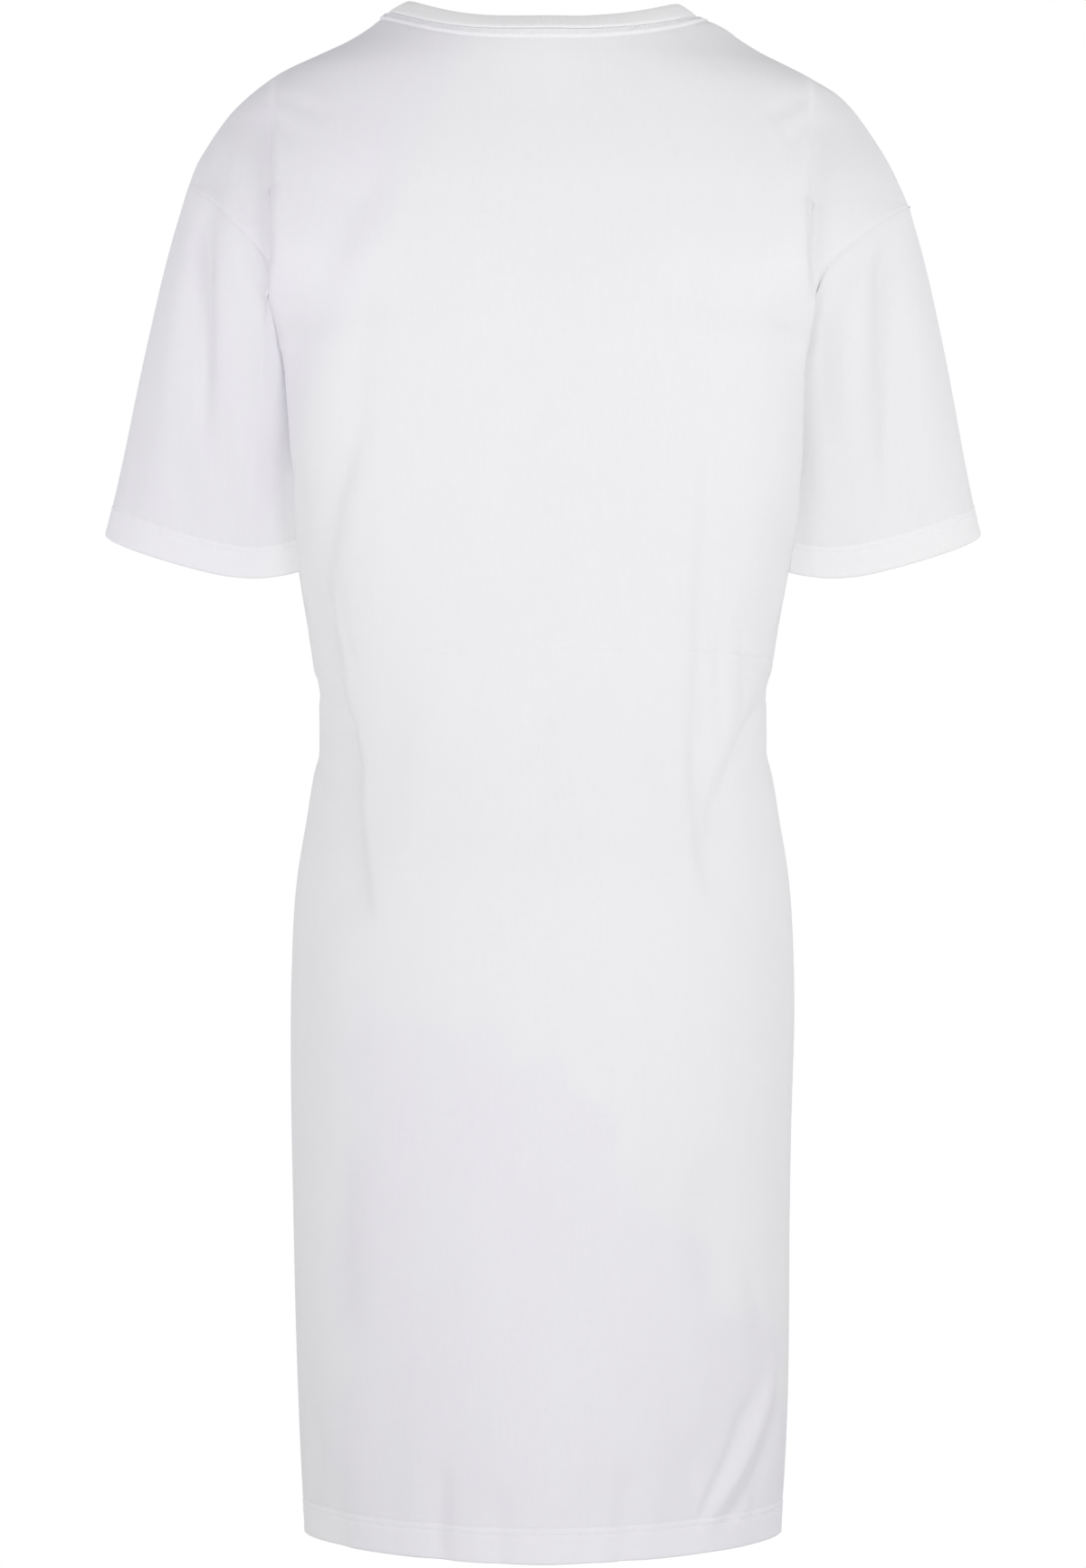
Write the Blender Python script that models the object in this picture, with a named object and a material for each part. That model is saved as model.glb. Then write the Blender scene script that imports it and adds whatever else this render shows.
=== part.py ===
"""T-shirt dress in cotton jersey, filled out as when it is worn, with nobody inside.

Seven cut pieces: front and back bodice, front and back skirt, two short sleeves and a ribbed neckband.
Each is a closed wall as thick as its cloth. Metres, +Z up. The back of the dress faces -Y and its front
+Y, so +X is the wearer's right. The origin is the middle of the neck base, at shoulder height.

The body is drawn through level sections. Each section is a superellipse in two halves, with its own depth
behind and in front of the side seams. Above the underarm the section widens to take in the dropped
shoulder, and the panels end on the armhole seam and the shoulder seam.
"""

import math

import bpy
import numpy as np

BACK = -1
FRONT = 1
LEFT = -1
RIGHT = 1

# Cloth thickness, seams and hems
JERSEY = 0.0013
HEM_PLY = 0.0021
RIB_BAND = 0.0021
SEAM_GAP = 0.0003
SKIRT_HEM = 0.021
SLEEVE_HEM = 0.020
BAND_WIDTH = 0.0145
MINIMUM_RIM = 0.6
SHARP_EDGE = math.radians(50)
TINY = 1e-9

# Levels of the long seams, from the neck base
HEM_LEVEL = -0.935
WAIST_CENTRE = {BACK: -0.391, FRONT: -0.395}
WAIST_SIDE = {LEFT: -0.4075, RIGHT: -0.3970}
NECK_CENTRE = {BACK: -0.0165, FRONT: -0.078}
LEVEL_AT_SHOULDER_END = {BACK: -0.121, FRONT: -0.134}
NECK_ROUNDNESS = 3.0
ROW_ROUNDNESS = 2.0

# Level sections: above the underarm they widen over the arms, and at the top they follow the shoulders
SQUARENESS = "squareness"
WIDTH = {LEFT: "width_left", RIGHT: "width_right"}
SECTION_COLUMNS = {WIDTH[LEFT]: 1, WIDTH[RIGHT]: 2, BACK: 3, FRONT: 4, SQUARENESS: 5}
SECTIONS = [
    # height  width_left  width_right  behind  in_front  squareness (2 is an ellipse)
    (-0.9350, 0.1468, 0.1468, 0.1120, 0.1000, 1.66),
    (-0.9000, 0.1490, 0.1490, 0.1130, 0.1010, 1.72),
    (-0.8200, 0.1524, 0.1520, 0.1140, 0.1020, 1.85),
    (-0.7400, 0.1545, 0.1530, 0.1155, 0.1020, 1.93),
    (-0.6500, 0.1558, 0.1550, 0.1160, 0.1020, 2.00),
    (-0.5900, 0.1550, 0.1550, 0.1140, 0.1010, 2.05),
    (-0.5300, 0.1517, 0.1517, 0.1080, 0.0990, 2.08),
    (-0.4850, 0.1446, 0.1446, 0.0980, 0.0970, 2.05),
    (-0.4350, 0.1380, 0.1382, 0.0890, 0.0950, 2.08),
    (-0.3950, 0.1423, 0.1423, 0.0870, 0.0980, 2.25),
    (-0.3430, 0.1505, 0.1512, 0.0910, 0.1060, 2.65),
    (-0.3000, 0.1537, 0.1588, 0.0960, 0.1130, 3.10),
    (-0.2500, 0.1575, 0.1607, 0.1010, 0.1170, 3.50),
    (-0.2120, 0.1607, 0.1622, 0.1035, 0.1160, 3.60),
    (-0.2050, 0.1610, 0.1625, 0.1038, 0.1155, 3.60),
    (-0.1900, 0.1685, 0.1700, 0.1042, 0.1140, 3.40),
    (-0.1720, 0.1900, 0.1910, 0.1040, 0.1115, 3.05),
    (-0.1560, 0.2130, 0.2135, 0.1030, 0.1080, 2.75),
    (-0.1400, 0.2240, 0.2250, 0.1012, 0.1042, 2.52),
    (-0.1230, 0.2255, 0.2272, 0.0985, 0.1005, 2.36),
    (-0.1050, 0.2195, 0.2207, 0.0950, 0.0965, 2.28),
    (-0.0900, 0.2137, 0.2137, 0.0912, 0.0930, 2.20),
    (-0.0790, 0.2070, 0.2072, 0.0880, 0.0905, 2.16),
    (-0.0675, 0.1992, 0.1997, 0.0845, 0.0880, 2.10),
    (-0.0560, 0.1902, 0.1912, 0.0810, 0.0855, 2.04),
    (-0.0450, 0.1785, 0.1798, 0.0775, 0.0830, 1.98),
    (-0.0340, 0.1620, 0.1598, 0.0740, 0.0805, 1.92),
    (-0.0230, 0.1390, 0.1368, 0.0700, 0.0780, 1.86),
    (-0.0155, 0.1233, 0.1245, 0.0675, 0.0765, 1.82),
    (-0.0040, 0.1055, 0.1075, 0.0635, 0.0740, 1.76),
    (0.0000, 0.1010, 0.0965, 0.0620, 0.0730, 1.75),
    (0.0040, 0.0965, 0.0860, 0.0605, 0.0720, 1.75),
]
NECK_POINT = {LEFT: 0.0040, RIGHT: 0.0000}

# Armhole seam, a leaning loop from the shoulder end down to the underarm
SHOULDER_END = {LEFT: -0.1040, RIGHT: -0.1170}
UNDERARM = -0.2050
ARMHOLE_SCOOP = 0.018

# Sleeve hem, a leaning loop whose back hangs lower because the arm reaches a little forward
CUFF_OUTER = (0.2730, -0.3175)
CUFF_INNER = (0.1380, -0.3413)
CUFF_FORWARD = 0.018
CUFF_DEPTH = {BACK: 0.036, FRONT: 0.073}
CUFF_DROP = 0.0135
CUFF_SKEW = 0.30
CUFF_FLATNESS = 0.3
SLEEVE_CROWN = 0.0025
ROUNDEST = 1 / 3
SLEEVE_FULLNESS = {BACK: 0.009, FRONT: 0.007}
FULL_OVER_ARM = 0.8
AWAY_FROM_BODICE = np.array([0.857, 0.0, -0.515])
CLEAR_AT_UNDERARM = 0.0006
CLEAR_AT_CUFF = 0.0022
CLEAR_BLEND = 0.0015

# Lean of the neckband towards the neck, from upright
BAND_LEAN = {BACK: math.radians(50), "side": math.radians(54), FRONT: math.radians(38)}
NECK_AXIS_Y = 0.010

# Rows and columns of the walls
COLUMNS = 32
WAIST_TO_UNDERARM = 7
UNDERARM_TO_SHOULDER = 12
SHOULDER_TO_NECK = 8
SKIRT_ROWS = 20
SLEEVE_SIDES = 2 * UNDERARM_TO_SHOULDER
SLEEVE_ROWS = 12
BAND_ROWS = 3
FINE_STEPS = 200

# Cosines of the bend at a seam between which its mitre fades in
MITRE_FROM = 0.3
MITRE_FULL = 0.7

# Folds: the share of its length over which one fades at each end, half of it beyond the end, the depth
# from the side seams where it is whole, and on a sleeve the share of the normal that faces the fold's
# side and the share of the length from the armhole seam
FOLD_END = 0.5
FOLD_DEPTH = 0.03
FOLD_FACING = 0.5
FOLD_FROM_SEAM = 1 / 6
FOLD_COLUMNS = ("x0", "z0", "x1", "z1", "half_width", "height")
BODY_FOLDS = {
    BACK: [
        # x0      z0      x1      z1      half_width  height (a trough is negative)
        (-0.101, -0.110, -0.135, -0.183, 0.013, -0.0030),
        (-0.105, -0.175, -0.112, -0.250, 0.012, -0.0022),
        (-0.112, -0.250, -0.133, -0.345, 0.012, -0.0026),
        (0.086, -0.170, 0.098, -0.300, 0.013, -0.0032),
        (0.098, -0.300, 0.096, -0.490, 0.014, -0.0030),
        (0.136, -0.428, 0.098, -0.500, 0.009, -0.0040),
        (-0.131, -0.420, -0.109, -0.480, 0.009, -0.0038),
        (-0.120, -0.476, -0.098, -0.545, 0.010, -0.0032),
        (0.000, -0.410, 0.000, -0.520, 0.026, -0.0025),
        (-0.169, -0.080, -0.163, -0.175, 0.010, -0.0042),
        (0.170, -0.080, 0.164, -0.175, 0.010, -0.0044),
        (-0.121, -0.690, -0.121, -0.800, 0.016, -0.0028),
        (0.100, -0.715, 0.092, -0.765, 0.016, -0.0035),
        (0.113, -0.750, 0.120, -0.785, 0.016, 0.0030),
        (0.128, -0.785, 0.141, -0.825, 0.010, -0.0028),
        (0.097, -0.865, 0.097, -0.925, 0.014, -0.0038),
        (0.112, -0.915, 0.134, -0.865, 0.010, 0.0028),
        (-0.055, -0.850, -0.060, -0.935, 0.014, -0.0022),
    ],
    FRONT: [
        (-0.085, -0.240, -0.070, -0.370, 0.016, -0.0030),
        (0.088, -0.235, 0.078, -0.360, 0.016, -0.0032),
        (-0.132, -0.420, -0.095, -0.490, 0.009, -0.0038),
        (0.130, -0.425, 0.100, -0.500, 0.009, -0.0036),
        (0.000, -0.300, 0.000, -0.400, 0.026, -0.0025),
        (-0.166, -0.085, -0.160, -0.160, 0.010, -0.0038),
        (0.167, -0.090, 0.160, -0.165, 0.010, -0.0038),
        (-0.090, -0.600, -0.098, -0.760, 0.018, -0.0028),
        (0.105, -0.640, 0.110, -0.800, 0.018, -0.0030),
        (0.045, -0.840, 0.050, -0.935, 0.015, -0.0024),
        (-0.105, -0.870, -0.112, -0.935, 0.014, -0.0030),
    ],
}
SLEEVE_FOLDS = {
    # the same columns, with x as the distance from the middle of the dress
    LEFT: {
        BACK: [
            (0.194, -0.075, 0.196, -0.125, 0.009, -0.0022),
            (0.197, -0.140, 0.196, -0.235, 0.010, -0.0030),
            (0.178, -0.150, 0.160, -0.240, 0.010, -0.0034),
            (0.222, -0.150, 0.236, -0.300, 0.012, 0.0016),
        ],
        FRONT: [
            (0.200, -0.150, 0.204, -0.240, 0.011, -0.0030),
            (0.178, -0.160, 0.172, -0.260, 0.010, -0.0032),
        ],
    },
    RIGHT: {
        BACK: [
            (0.210, -0.115, 0.212, -0.285, 0.010, -0.0040),
            (0.191, -0.130, 0.192, -0.285, 0.011, 0.0022),
            (0.170, -0.130, 0.172, -0.235, 0.010, -0.0032),
        ],
        FRONT: [
            (0.212, -0.150, 0.218, -0.260, 0.011, -0.0032),
            (0.182, -0.150, 0.176, -0.250, 0.010, -0.0030),
        ],
    },
}

WHITE_JERSEY = (0.84, 0.84, 0.86, 1.0)
WHITE_RIB = (0.86, 0.86, 0.87, 1.0)
COTTON_ROUGHNESS = 0.85


def through(table, column, height):
    """Smooth curve through one column of a table, read at the heights given.

    Between two rows it is a cubic whose slope at each row is the mean slope of the table there.
    """
    rows = np.array(table)
    level = rows[:, 0]
    value = rows[:, column]
    slope = np.gradient(value, level)
    at = np.clip(height, level[0], level[-1])
    below = np.clip(np.searchsorted(level, at, side="right") - 1, 0, len(level) - 2)
    step = level[below + 1] - level[below]
    t = (at - level[below]) / step
    start = value[below] * (1 + 2 * t) * (1 - t) ** 2 + slope[below] * step * t * (1 - t) ** 2
    end = value[below + 1] * t**2 * (3 - 2 * t) + slope[below + 1] * step * t**2 * (t - 1)
    return start + end


def smooth_step(t):
    """0 below 0, 1 above 1, with level ends between."""
    t = np.clip(t, 0.0, 1.0)
    return t * t * (3 - 2 * t)


def section(column, height):
    """A column of the sections: a half width, the depth behind or in front, or the squareness."""
    return through(SECTIONS, SECTION_COLUMNS[column], height)


def rest_of(share, height):
    """Superellipse: the share of one half axis that is left where the other has reached its share."""
    power = section(SQUARENESS, height)
    return (1 - np.clip(share, 0, 1) ** power) ** (1 / power)


def armhole(hand, turn):
    """Distance from the middle and height on the armhole seam.

    turn runs from 0 at the shoulder end to pi at the underarm. The seam is half an ellipse about the line
    from one to the other, scooped towards the neck by sin squared, and lies on the body's surface.
    """
    top_x = section(WIDTH[hand], SHOULDER_END[hand])
    low_x = section(WIDTH[hand], UNDERARM)
    scoop = ARMHOLE_SCOOP * np.sin(turn) ** 2
    out = (top_x + low_x) / 2 + (top_x - low_x) / 2 * np.cos(turn) - scoop
    height = (SHOULDER_END[hand] + UNDERARM) / 2 + (SHOULDER_END[hand] - UNDERARM) / 2 * np.cos(turn)
    return out, height


def fold_height(folds, x, z):
    """Sum of soft troughs and ridges: a bell across each fold's line that fades out at its ends."""
    total = np.zeros_like(x)
    for row in folds:
        fold = dict(zip(FOLD_COLUMNS, row))
        along_x = fold["x1"] - fold["x0"]
        along_z = fold["z1"] - fold["z0"]
        length = math.hypot(along_x, along_z)
        t = ((x - fold["x0"]) * along_x + (z - fold["z0"]) * along_z) / length**2
        across = ((x - fold["x0"]) * along_z - (z - fold["z0"]) * along_x) / length
        bell = np.exp(-((across / fold["half_width"]) ** 2))
        ends = smooth_step(t / FOLD_END + 0.5) * smooth_step((1 - t) / FOLD_END + 0.5)
        total = total + fold["height"] * bell * ends
    return total


def normals_of(points, closed=False):
    """Outward normals of a grid of points, rows first: the cross product of its two directions."""
    if closed:
        wrapped = np.concatenate([points[:, -1:], points, points[:, :1]], axis=1)
        across = np.gradient(wrapped, axis=1)[:, 1:-1]
    else:
        across = np.gradient(points, axis=1)
    normal = np.cross(across, np.gradient(points, axis=0))
    return unit(normal)


def unit(vectors):
    """Vectors of length one."""
    return vectors / np.maximum(np.linalg.norm(vectors, axis=-1, keepdims=True), TINY)


def yoke_points(side, levels):
    """Grid of points on the body above the underarm, from the left edge to the right.

    levels holds, for each row, its height at either end and in the middle, the turn angle at each end (a
    quarter turn where the row ends on the shoulder seam), and the roundness of its dip. A point's x
    follows the sine of its share of the turn, and its y the superellipse of the section there.
    """
    share = np.linspace(-1, 1, COLUMNS + 1)
    grid = np.zeros((len(levels), COLUMNS + 1, 3))
    for hand, mine in ((LEFT, share < 0), (RIGHT, share >= 0)):
        end_height = np.array([row["end"][hand] for row in levels])[:, None]
        turn = np.array([row["turn"][hand] for row in levels])[:, None]
        middle = np.array([row["middle"] for row in levels])[:, None]
        roundness = np.array([row["roundness"] for row in levels])[:, None]
        power = 2 / section(SQUARENESS, end_height)
        reach = np.sin(np.abs(share[mine]) * turn) ** power
        out = section(WIDTH[hand], end_height) * reach
        dip = 1 - (reach / np.sin(turn) ** power) ** roundness
        height = end_height + (middle - end_height) * dip
        grid[:, mine, 0] = hand * out
        grid[:, mine, 1] = side * section(side, height) * rest_of(out / section(WIDTH[hand], height), height)
        grid[:, mine, 2] = height
    return grid


def body_normals(side, points):
    """Outward normals of a body panel, level with the x-z plane where it meets the other side."""
    normal = normals_of(points)
    normal = normal if side == BACK else -normal
    on_seam = np.abs(points[..., 1]) < SEAM_GAP
    normal[on_seam, 1] = 0.0
    return unit(normal)


def raise_folds(side, points):
    """Moves a panel's points along their normals by its folds, which fade out at the side seams."""
    normal = body_normals(side, points)
    lift = fold_height(BODY_FOLDS[side], points[..., 0], points[..., 2])
    lift = lift * smooth_step(np.abs(points[..., 1]) / FOLD_DEPTH)
    return points + normal * lift[..., None]


def waist_height(side, share):
    """Height of the waist seam, level at its middle and its ends."""
    end = np.where(share < 0, WAIST_SIDE[LEFT], WAIST_SIDE[RIGHT])
    return WAIST_CENTRE[side] + (end - WAIST_CENTRE[side]) * smooth_step(np.abs(share))


def torso_points(side, share, rows):
    """Points of level rows on the torso: rows holds a height for each point of each row."""
    out = np.zeros(rows.shape + (3,))
    angle = np.abs(share)[None, :] * math.pi / 2
    width = np.where(share < 0, -section(WIDTH[LEFT], rows), section(WIDTH[RIGHT], rows))
    power = 2 / section(SQUARENESS, rows)
    out[..., 0] = width * np.sin(angle) ** power
    out[..., 1] = side * section(side, rows) * np.clip(np.cos(angle), 0, 1) ** power
    out[..., 2] = rows
    return out


def even_shoulder_heights(hand, count):
    """Heights from the shoulder end up to the neck point, evenly spaced along the shoulder seam."""
    fine = np.linspace(SHOULDER_END[hand], NECK_POINT[hand], FINE_STEPS)
    length = np.hypot(np.diff(fine), np.diff(section(WIDTH[hand], fine)))
    length = np.append(0, np.cumsum(length))
    return np.interp(np.linspace(0, length[-1], count + 1), length, fine)


def yoke_levels(side):
    """Rows of a bodice above the underarm: first up the armhole seam, then up the shoulder seam."""
    levels = []
    for step in range(1, UNDERARM_TO_SHOULDER + 1):
        up = step / UNDERARM_TO_SHOULDER
        row = {"end": {}, "turn": {}, "roundness": ROW_ROUNDNESS}
        for hand in (LEFT, RIGHT):
            out, height = armhole(hand, math.pi * (1 - up))
            reach = min(1.0, float(out / section(WIDTH[hand], height)))
            row["end"][hand] = float(height)
            row["turn"][hand] = math.asin(reach ** (float(section(SQUARENESS, height)) / 2))
        row["middle"] = UNDERARM + (LEVEL_AT_SHOULDER_END[side] - UNDERARM) * up
        levels.append(row)
    shoulder = {hand: even_shoulder_heights(hand, SHOULDER_TO_NECK) for hand in (LEFT, RIGHT)}
    for step in range(1, SHOULDER_TO_NECK + 1):
        up = step / SHOULDER_TO_NECK
        rise = NECK_CENTRE[side] - LEVEL_AT_SHOULDER_END[side]
        levels.append({
            "end": {hand: float(shoulder[hand][step]) for hand in (LEFT, RIGHT)},
            "turn": {LEFT: math.pi / 2, RIGHT: math.pi / 2},
            "middle": LEVEL_AT_SHOULDER_END[side] + rise * up,
            "roundness": ROW_ROUNDNESS + (NECK_ROUNDNESS - ROW_ROUNDNESS) * up,
        })
    return levels


def bodice_points(side):
    """Grid of a bodice panel from the waist seam to the neck seam."""
    share = np.linspace(-1, 1, COLUMNS + 1)
    start = waist_height(side, share) + SEAM_GAP / 2
    climb = np.linspace(0, 1, WAIST_TO_UNDERARM + 1)[:, None]
    torso = torso_points(side, share, start + (UNDERARM - start) * climb)
    yoke = yoke_points(side, yoke_levels(side))
    return raise_folds(side, np.concatenate([torso, yoke]))


def skirt_points(side):
    """Grid of a skirt panel from the hem to the waist seam, with a row at the hem's stitching."""
    share = np.linspace(-1, 1, COLUMNS + 1)
    top = waist_height(side, share) - SEAM_GAP / 2
    hem_share = SKIRT_HEM / (WAIST_CENTRE[side] - HEM_LEVEL)
    climb = np.concatenate([[0], np.linspace(hem_share, 1, SKIRT_ROWS)])[:, None]
    return raise_folds(side, torso_points(side, share, HEM_LEVEL + (top - HEM_LEVEL) * climb))


def split_quads(points, quads):
    """Each quad as two triangles across its shorter diagonal, which keeps thin quads on the surface."""
    corners = points[quads]
    first = np.linalg.norm(corners[:, 0] - corners[:, 2], axis=-1)
    second = np.linalg.norm(corners[:, 1] - corners[:, 3], axis=-1)
    along_first = quads[first <= second]
    along_second = quads[first > second]
    return np.concatenate([
        along_first[:, [0, 1, 2]], along_first[:, [0, 2, 3]],
        along_second[:, [0, 1, 3]], along_second[:, [1, 2, 3]],
    ])


def wall_mesh(name, outer, inner, closed, colour):
    """Closed wall between two grids of points: both faces and the rims round them."""
    rows, columns = outer.shape[:2]
    index = np.arange(rows * columns).reshape(rows, columns)
    if closed:
        index = np.concatenate([index, index[:, :1]], axis=1)
    under = index + rows * columns

    def quads(a, b, c, d):
        return np.stack([a, b, c, d], axis=-1).reshape(-1, 4)

    faces = [
        quads(index[:-1, :-1], index[:-1, 1:], index[1:, 1:], index[1:, :-1]),
        quads(under[:-1, :-1], under[1:, :-1], under[1:, 1:], under[:-1, 1:]),
        quads(index[0, :-1], under[0, :-1], under[0, 1:], index[0, 1:]),
        quads(index[-1, :-1], index[-1, 1:], under[-1, 1:], under[-1, :-1]),
    ]
    if not closed:
        faces.append(quads(index[:-1, 0], index[1:, 0], under[1:, 0], under[:-1, 0]))
        faces.append(quads(index[:-1, -1], under[:-1, -1], under[1:, -1], index[1:, -1]))
    mesh = bpy.data.meshes.new(name)
    points = np.concatenate([outer.reshape(-1, 3), inner.reshape(-1, 3)])
    triangles = split_quads(points, np.concatenate(faces))
    mesh.from_pydata(points.tolist(), [], triangles.tolist())
    mesh.shade_smooth()
    mesh.set_sharp_from_angle(angle=SHARP_EDGE)
    mesh.materials.append(cotton(name + "_cloth", colour))
    piece = bpy.data.objects.new(name, mesh)
    bpy.context.collection.objects.link(piece)
    return piece


def cotton(name, colour):
    """Matt cotton."""
    material = bpy.data.materials.new(name)
    material.use_nodes = True
    shader = material.node_tree.nodes["Principled BSDF"]
    shader.inputs["Base Color"].default_value = colour
    shader.inputs["Roughness"].default_value = COTTON_ROUGHNESS
    shader.inputs["Metallic"].default_value = 0.0
    return material


def part_at_seam(side, points):
    """Keeps half the seam gap between a panel's side and shoulder edges and the other side's."""
    parted = points.copy()
    parted[..., 1] = side * np.maximum(side * points[..., 1], SEAM_GAP / 2)
    return parted


def make_panel(name, side, points, normal, ply):
    """A front or back panel: its outer grid, and the same grid moved in by the cloth's thickness."""
    outer = part_at_seam(side, points)
    inner = part_at_seam(side, outer - normal * ply[:, None, None])
    if side == FRONT:
        outer = outer[:, ::-1]
        inner = inner[:, ::-1]
    return wall_mesh(name, outer, inner, False, WHITE_JERSEY)


def mitre(one, other):
    """Shared direction of the cut edges of two pieces at their seam, and how far to follow it.

    It is followed where the pieces bend little from one to the other, so that their walls meet face to
    face, and not where the seam lies in a deep fold.
    """
    bend = np.sum(one * other, axis=-1, keepdims=True)
    return unit(one + other), smooth_step((bend - MITRE_FROM) / (MITRE_FULL - MITRE_FROM))


def turned(own, shared, amount):
    """A direction turned towards a shared one by an amount from 0 to 1."""
    return unit(own * (1 - amount) + shared * amount)


def neck_loop(grids):
    """Neck seam round the whole neck, from the left shoulder behind to the right, and back in front."""
    return np.concatenate([grids[BACK][-1], grids[FRONT][-1, -2:0:-1]])


def armhole_rows():
    """Rows of a bodice grid on the armhole seam, from the shoulder end down to the underarm."""
    return WAIST_TO_UNDERARM + np.arange(UNDERARM_TO_SHOULDER, -1, -1)


def armhole_loop(grids, hand):
    """Values round an armhole: behind from the shoulder end to the underarm, then up in front."""
    column = -1 if hand == RIGHT else 0
    behind = grids[BACK][armhole_rows(), column]
    in_front = grids[FRONT][armhole_rows(), column]
    return np.concatenate([behind, in_front[-2:0:-1]]) * np.array([hand, 1, 1])


def band_direction(loop):
    """Direction up the neckband at each point of the neck seam: upright, leaning in towards the neck."""
    inward = np.stack([-loop[:, 0], NECK_AXIS_Y - loop[:, 1], np.zeros(len(loop))], axis=-1)
    inward = unit(inward)
    facing = -inward[:, 1]
    lean = np.where(
        facing > 0,
        BAND_LEAN["side"] + (BAND_LEAN[FRONT] - BAND_LEAN["side"]) * facing,
        BAND_LEAN["side"] - (BAND_LEAN[BACK] - BAND_LEAN["side"]) * facing,
    )
    upward = np.zeros_like(loop)
    upward[:, 2] = np.cos(lean)
    return inward * np.sin(lean)[:, None] + upward


def make_neckband(loop, seam_normal):
    """Closed ring of folded rib: rows up from the neck seam, thinner at the fold along its top."""
    direction = band_direction(loop)
    heights = np.linspace(SEAM_GAP, BAND_WIDTH, BAND_ROWS + 1)
    outer = loop[None] + direction[None] * heights[:, None, None]
    normal = normals_of(outer, closed=True)
    normal[0] = seam_normal
    rim = RIB_BAND * (1 - MINIMUM_RIM) / 2
    outer[-1] -= normal[-1] * rim
    ply = np.full(BAND_ROWS + 1, RIB_BAND)
    ply[-1] = RIB_BAND * MINIMUM_RIM
    inner = outer - normal * ply[:, None, None]
    return wall_mesh("neckband", outer, inner, True, WHITE_RIB)


def cuff(side_turn):
    """Distance from the middle, depth and height round the sleeve hem, flatter towards the torso."""
    cosine = np.cos(side_turn)
    sine = np.sin(side_turn)
    deep = np.sign(sine) * np.abs(sine) ** (1 - CUFF_FLATNESS * (1 - cosine) / 2)
    out = (CUFF_OUTER[0] + CUFF_INNER[0]) / 2 + (CUFF_OUTER[0] - CUFF_INNER[0]) / 2 * cosine
    height = (CUFF_OUTER[1] + CUFF_INNER[1]) / 2 + (CUFF_OUTER[1] - CUFF_INNER[1]) / 2 * cosine
    depth = np.where(sine > 0, CUFF_DEPTH[BACK], CUFF_DEPTH[FRONT])
    drop = CUFF_DROP * sine * (1 - CUFF_SKEW * cosine)
    return np.stack([out, CUFF_FORWARD - depth * deep, height - drop], axis=-1)


def hold_off_body(hand, points, down):
    """Keeps a sleeve's inner side clear of the torso, by a smooth maximum of the two distances."""
    height = points[..., 2]
    reach = np.where(points[..., 1] < 0, section(BACK, height), section(FRONT, height))
    width = section(WIDTH[hand], np.minimum(height, UNDERARM))
    torso = width * rest_of(np.abs(points[..., 1]) / reach, height)
    limit = torso + CLEAR_AT_UNDERARM + (CLEAR_AT_CUFF - CLEAR_AT_UNDERARM) * down
    gap = points[..., 0] - limit
    held = points.copy()
    held[..., 0] = limit + (gap + np.sqrt(gap**2 + CLEAR_BLEND**2)) / 2
    return held


def sleeve_points(hand, seam):
    """Rings of a sleeve from the armhole seam to its hem, in distance from the middle, depth, height.

    Each line down the sleeve runs straight from the armhole loop to the cuff loop, rounded outwards near
    the shoulder and behind by t (1 - t) squared, brought to 1 at its highest, a third of the way down.
    The rounding behind is full over the arm and fades towards the torso.
    """
    turn = np.arange(SLEEVE_SIDES) * 2 * math.pi / SLEEVE_SIDES
    sine = np.sin(turn)
    start = seam + SEAM_GAP * AWAY_FROM_BODICE
    end = cuff(turn)
    hem_share = 1 - SLEEVE_HEM / np.linalg.norm(end - start, axis=-1).mean()
    down = np.concatenate([np.linspace(0, hem_share, SLEEVE_ROWS), [1.0]])[:, None]
    points = start[None] * (1 - down[..., None]) + end[None] * down[..., None]
    rounding = down * (1 - down) ** 2 / (ROUNDEST * (1 - ROUNDEST) ** 2)
    fullness = np.where(sine > 0, SLEEVE_FULLNESS[BACK], SLEEVE_FULLNESS[FRONT])
    points[..., 0] += rounding * SLEEVE_CROWN * np.cos(turn)
    points[..., 1] -= rounding * fullness * sine * (1 + np.cos(turn)) * FULL_OVER_ARM
    return hold_off_body(hand, points, down)


def sleeve_grid(hand, seam):
    """Rings of a sleeve with its folds raised behind and in front, fading out at the armhole seam."""
    points = sleeve_points(hand, seam)
    normal = normals_of(points, closed=True)
    from_seam = np.linspace(0, 1, len(points))[:, None]
    for side in (BACK, FRONT):
        facing = smooth_step(side * normal[..., 1] / FOLD_FACING) * smooth_step(from_seam / FOLD_FROM_SEAM)
        lift = fold_height(SLEEVE_FOLDS[hand][side], points[..., 0], points[..., 2]) * facing
        points = points + normal * lift[..., None]
    return points


def make_sleeve(name, hand, points, normal):
    """A sleeve as a closed tube wall, thicker at the hem."""
    ply = np.full(len(points), JERSEY)
    ply[-2:] = HEM_PLY
    inner = points - normal * ply[:, None, None]
    for grid in (points, inner):
        grid[..., 0] *= hand
    if hand == LEFT:
        points = points[:, ::-1]
        inner = inner[:, ::-1]
    return wall_mesh(name, points, inner, True, WHITE_JERSEY)


def clear_scene():
    for item in list(bpy.data.objects):
        bpy.data.objects.remove(item, do_unlink=True)


def mitre_neck(grids, normals):
    """Turns the bodice's edges at the neck seam to the neckband's, and gives the shared directions."""
    loop = neck_loop(grids)
    rows = loop[None] + band_direction(loop)[None] * np.array([0, BAND_WIDTH])[:, None, None]
    shared, _ = mitre(neck_loop(normals), normals_of(rows, closed=True)[0])
    normals[BACK][-1] = shared[:COLUMNS + 1]
    normals[FRONT][-1] = np.append(shared[COLUMNS:], shared[:1], axis=0)[::-1]
    return shared


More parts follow.
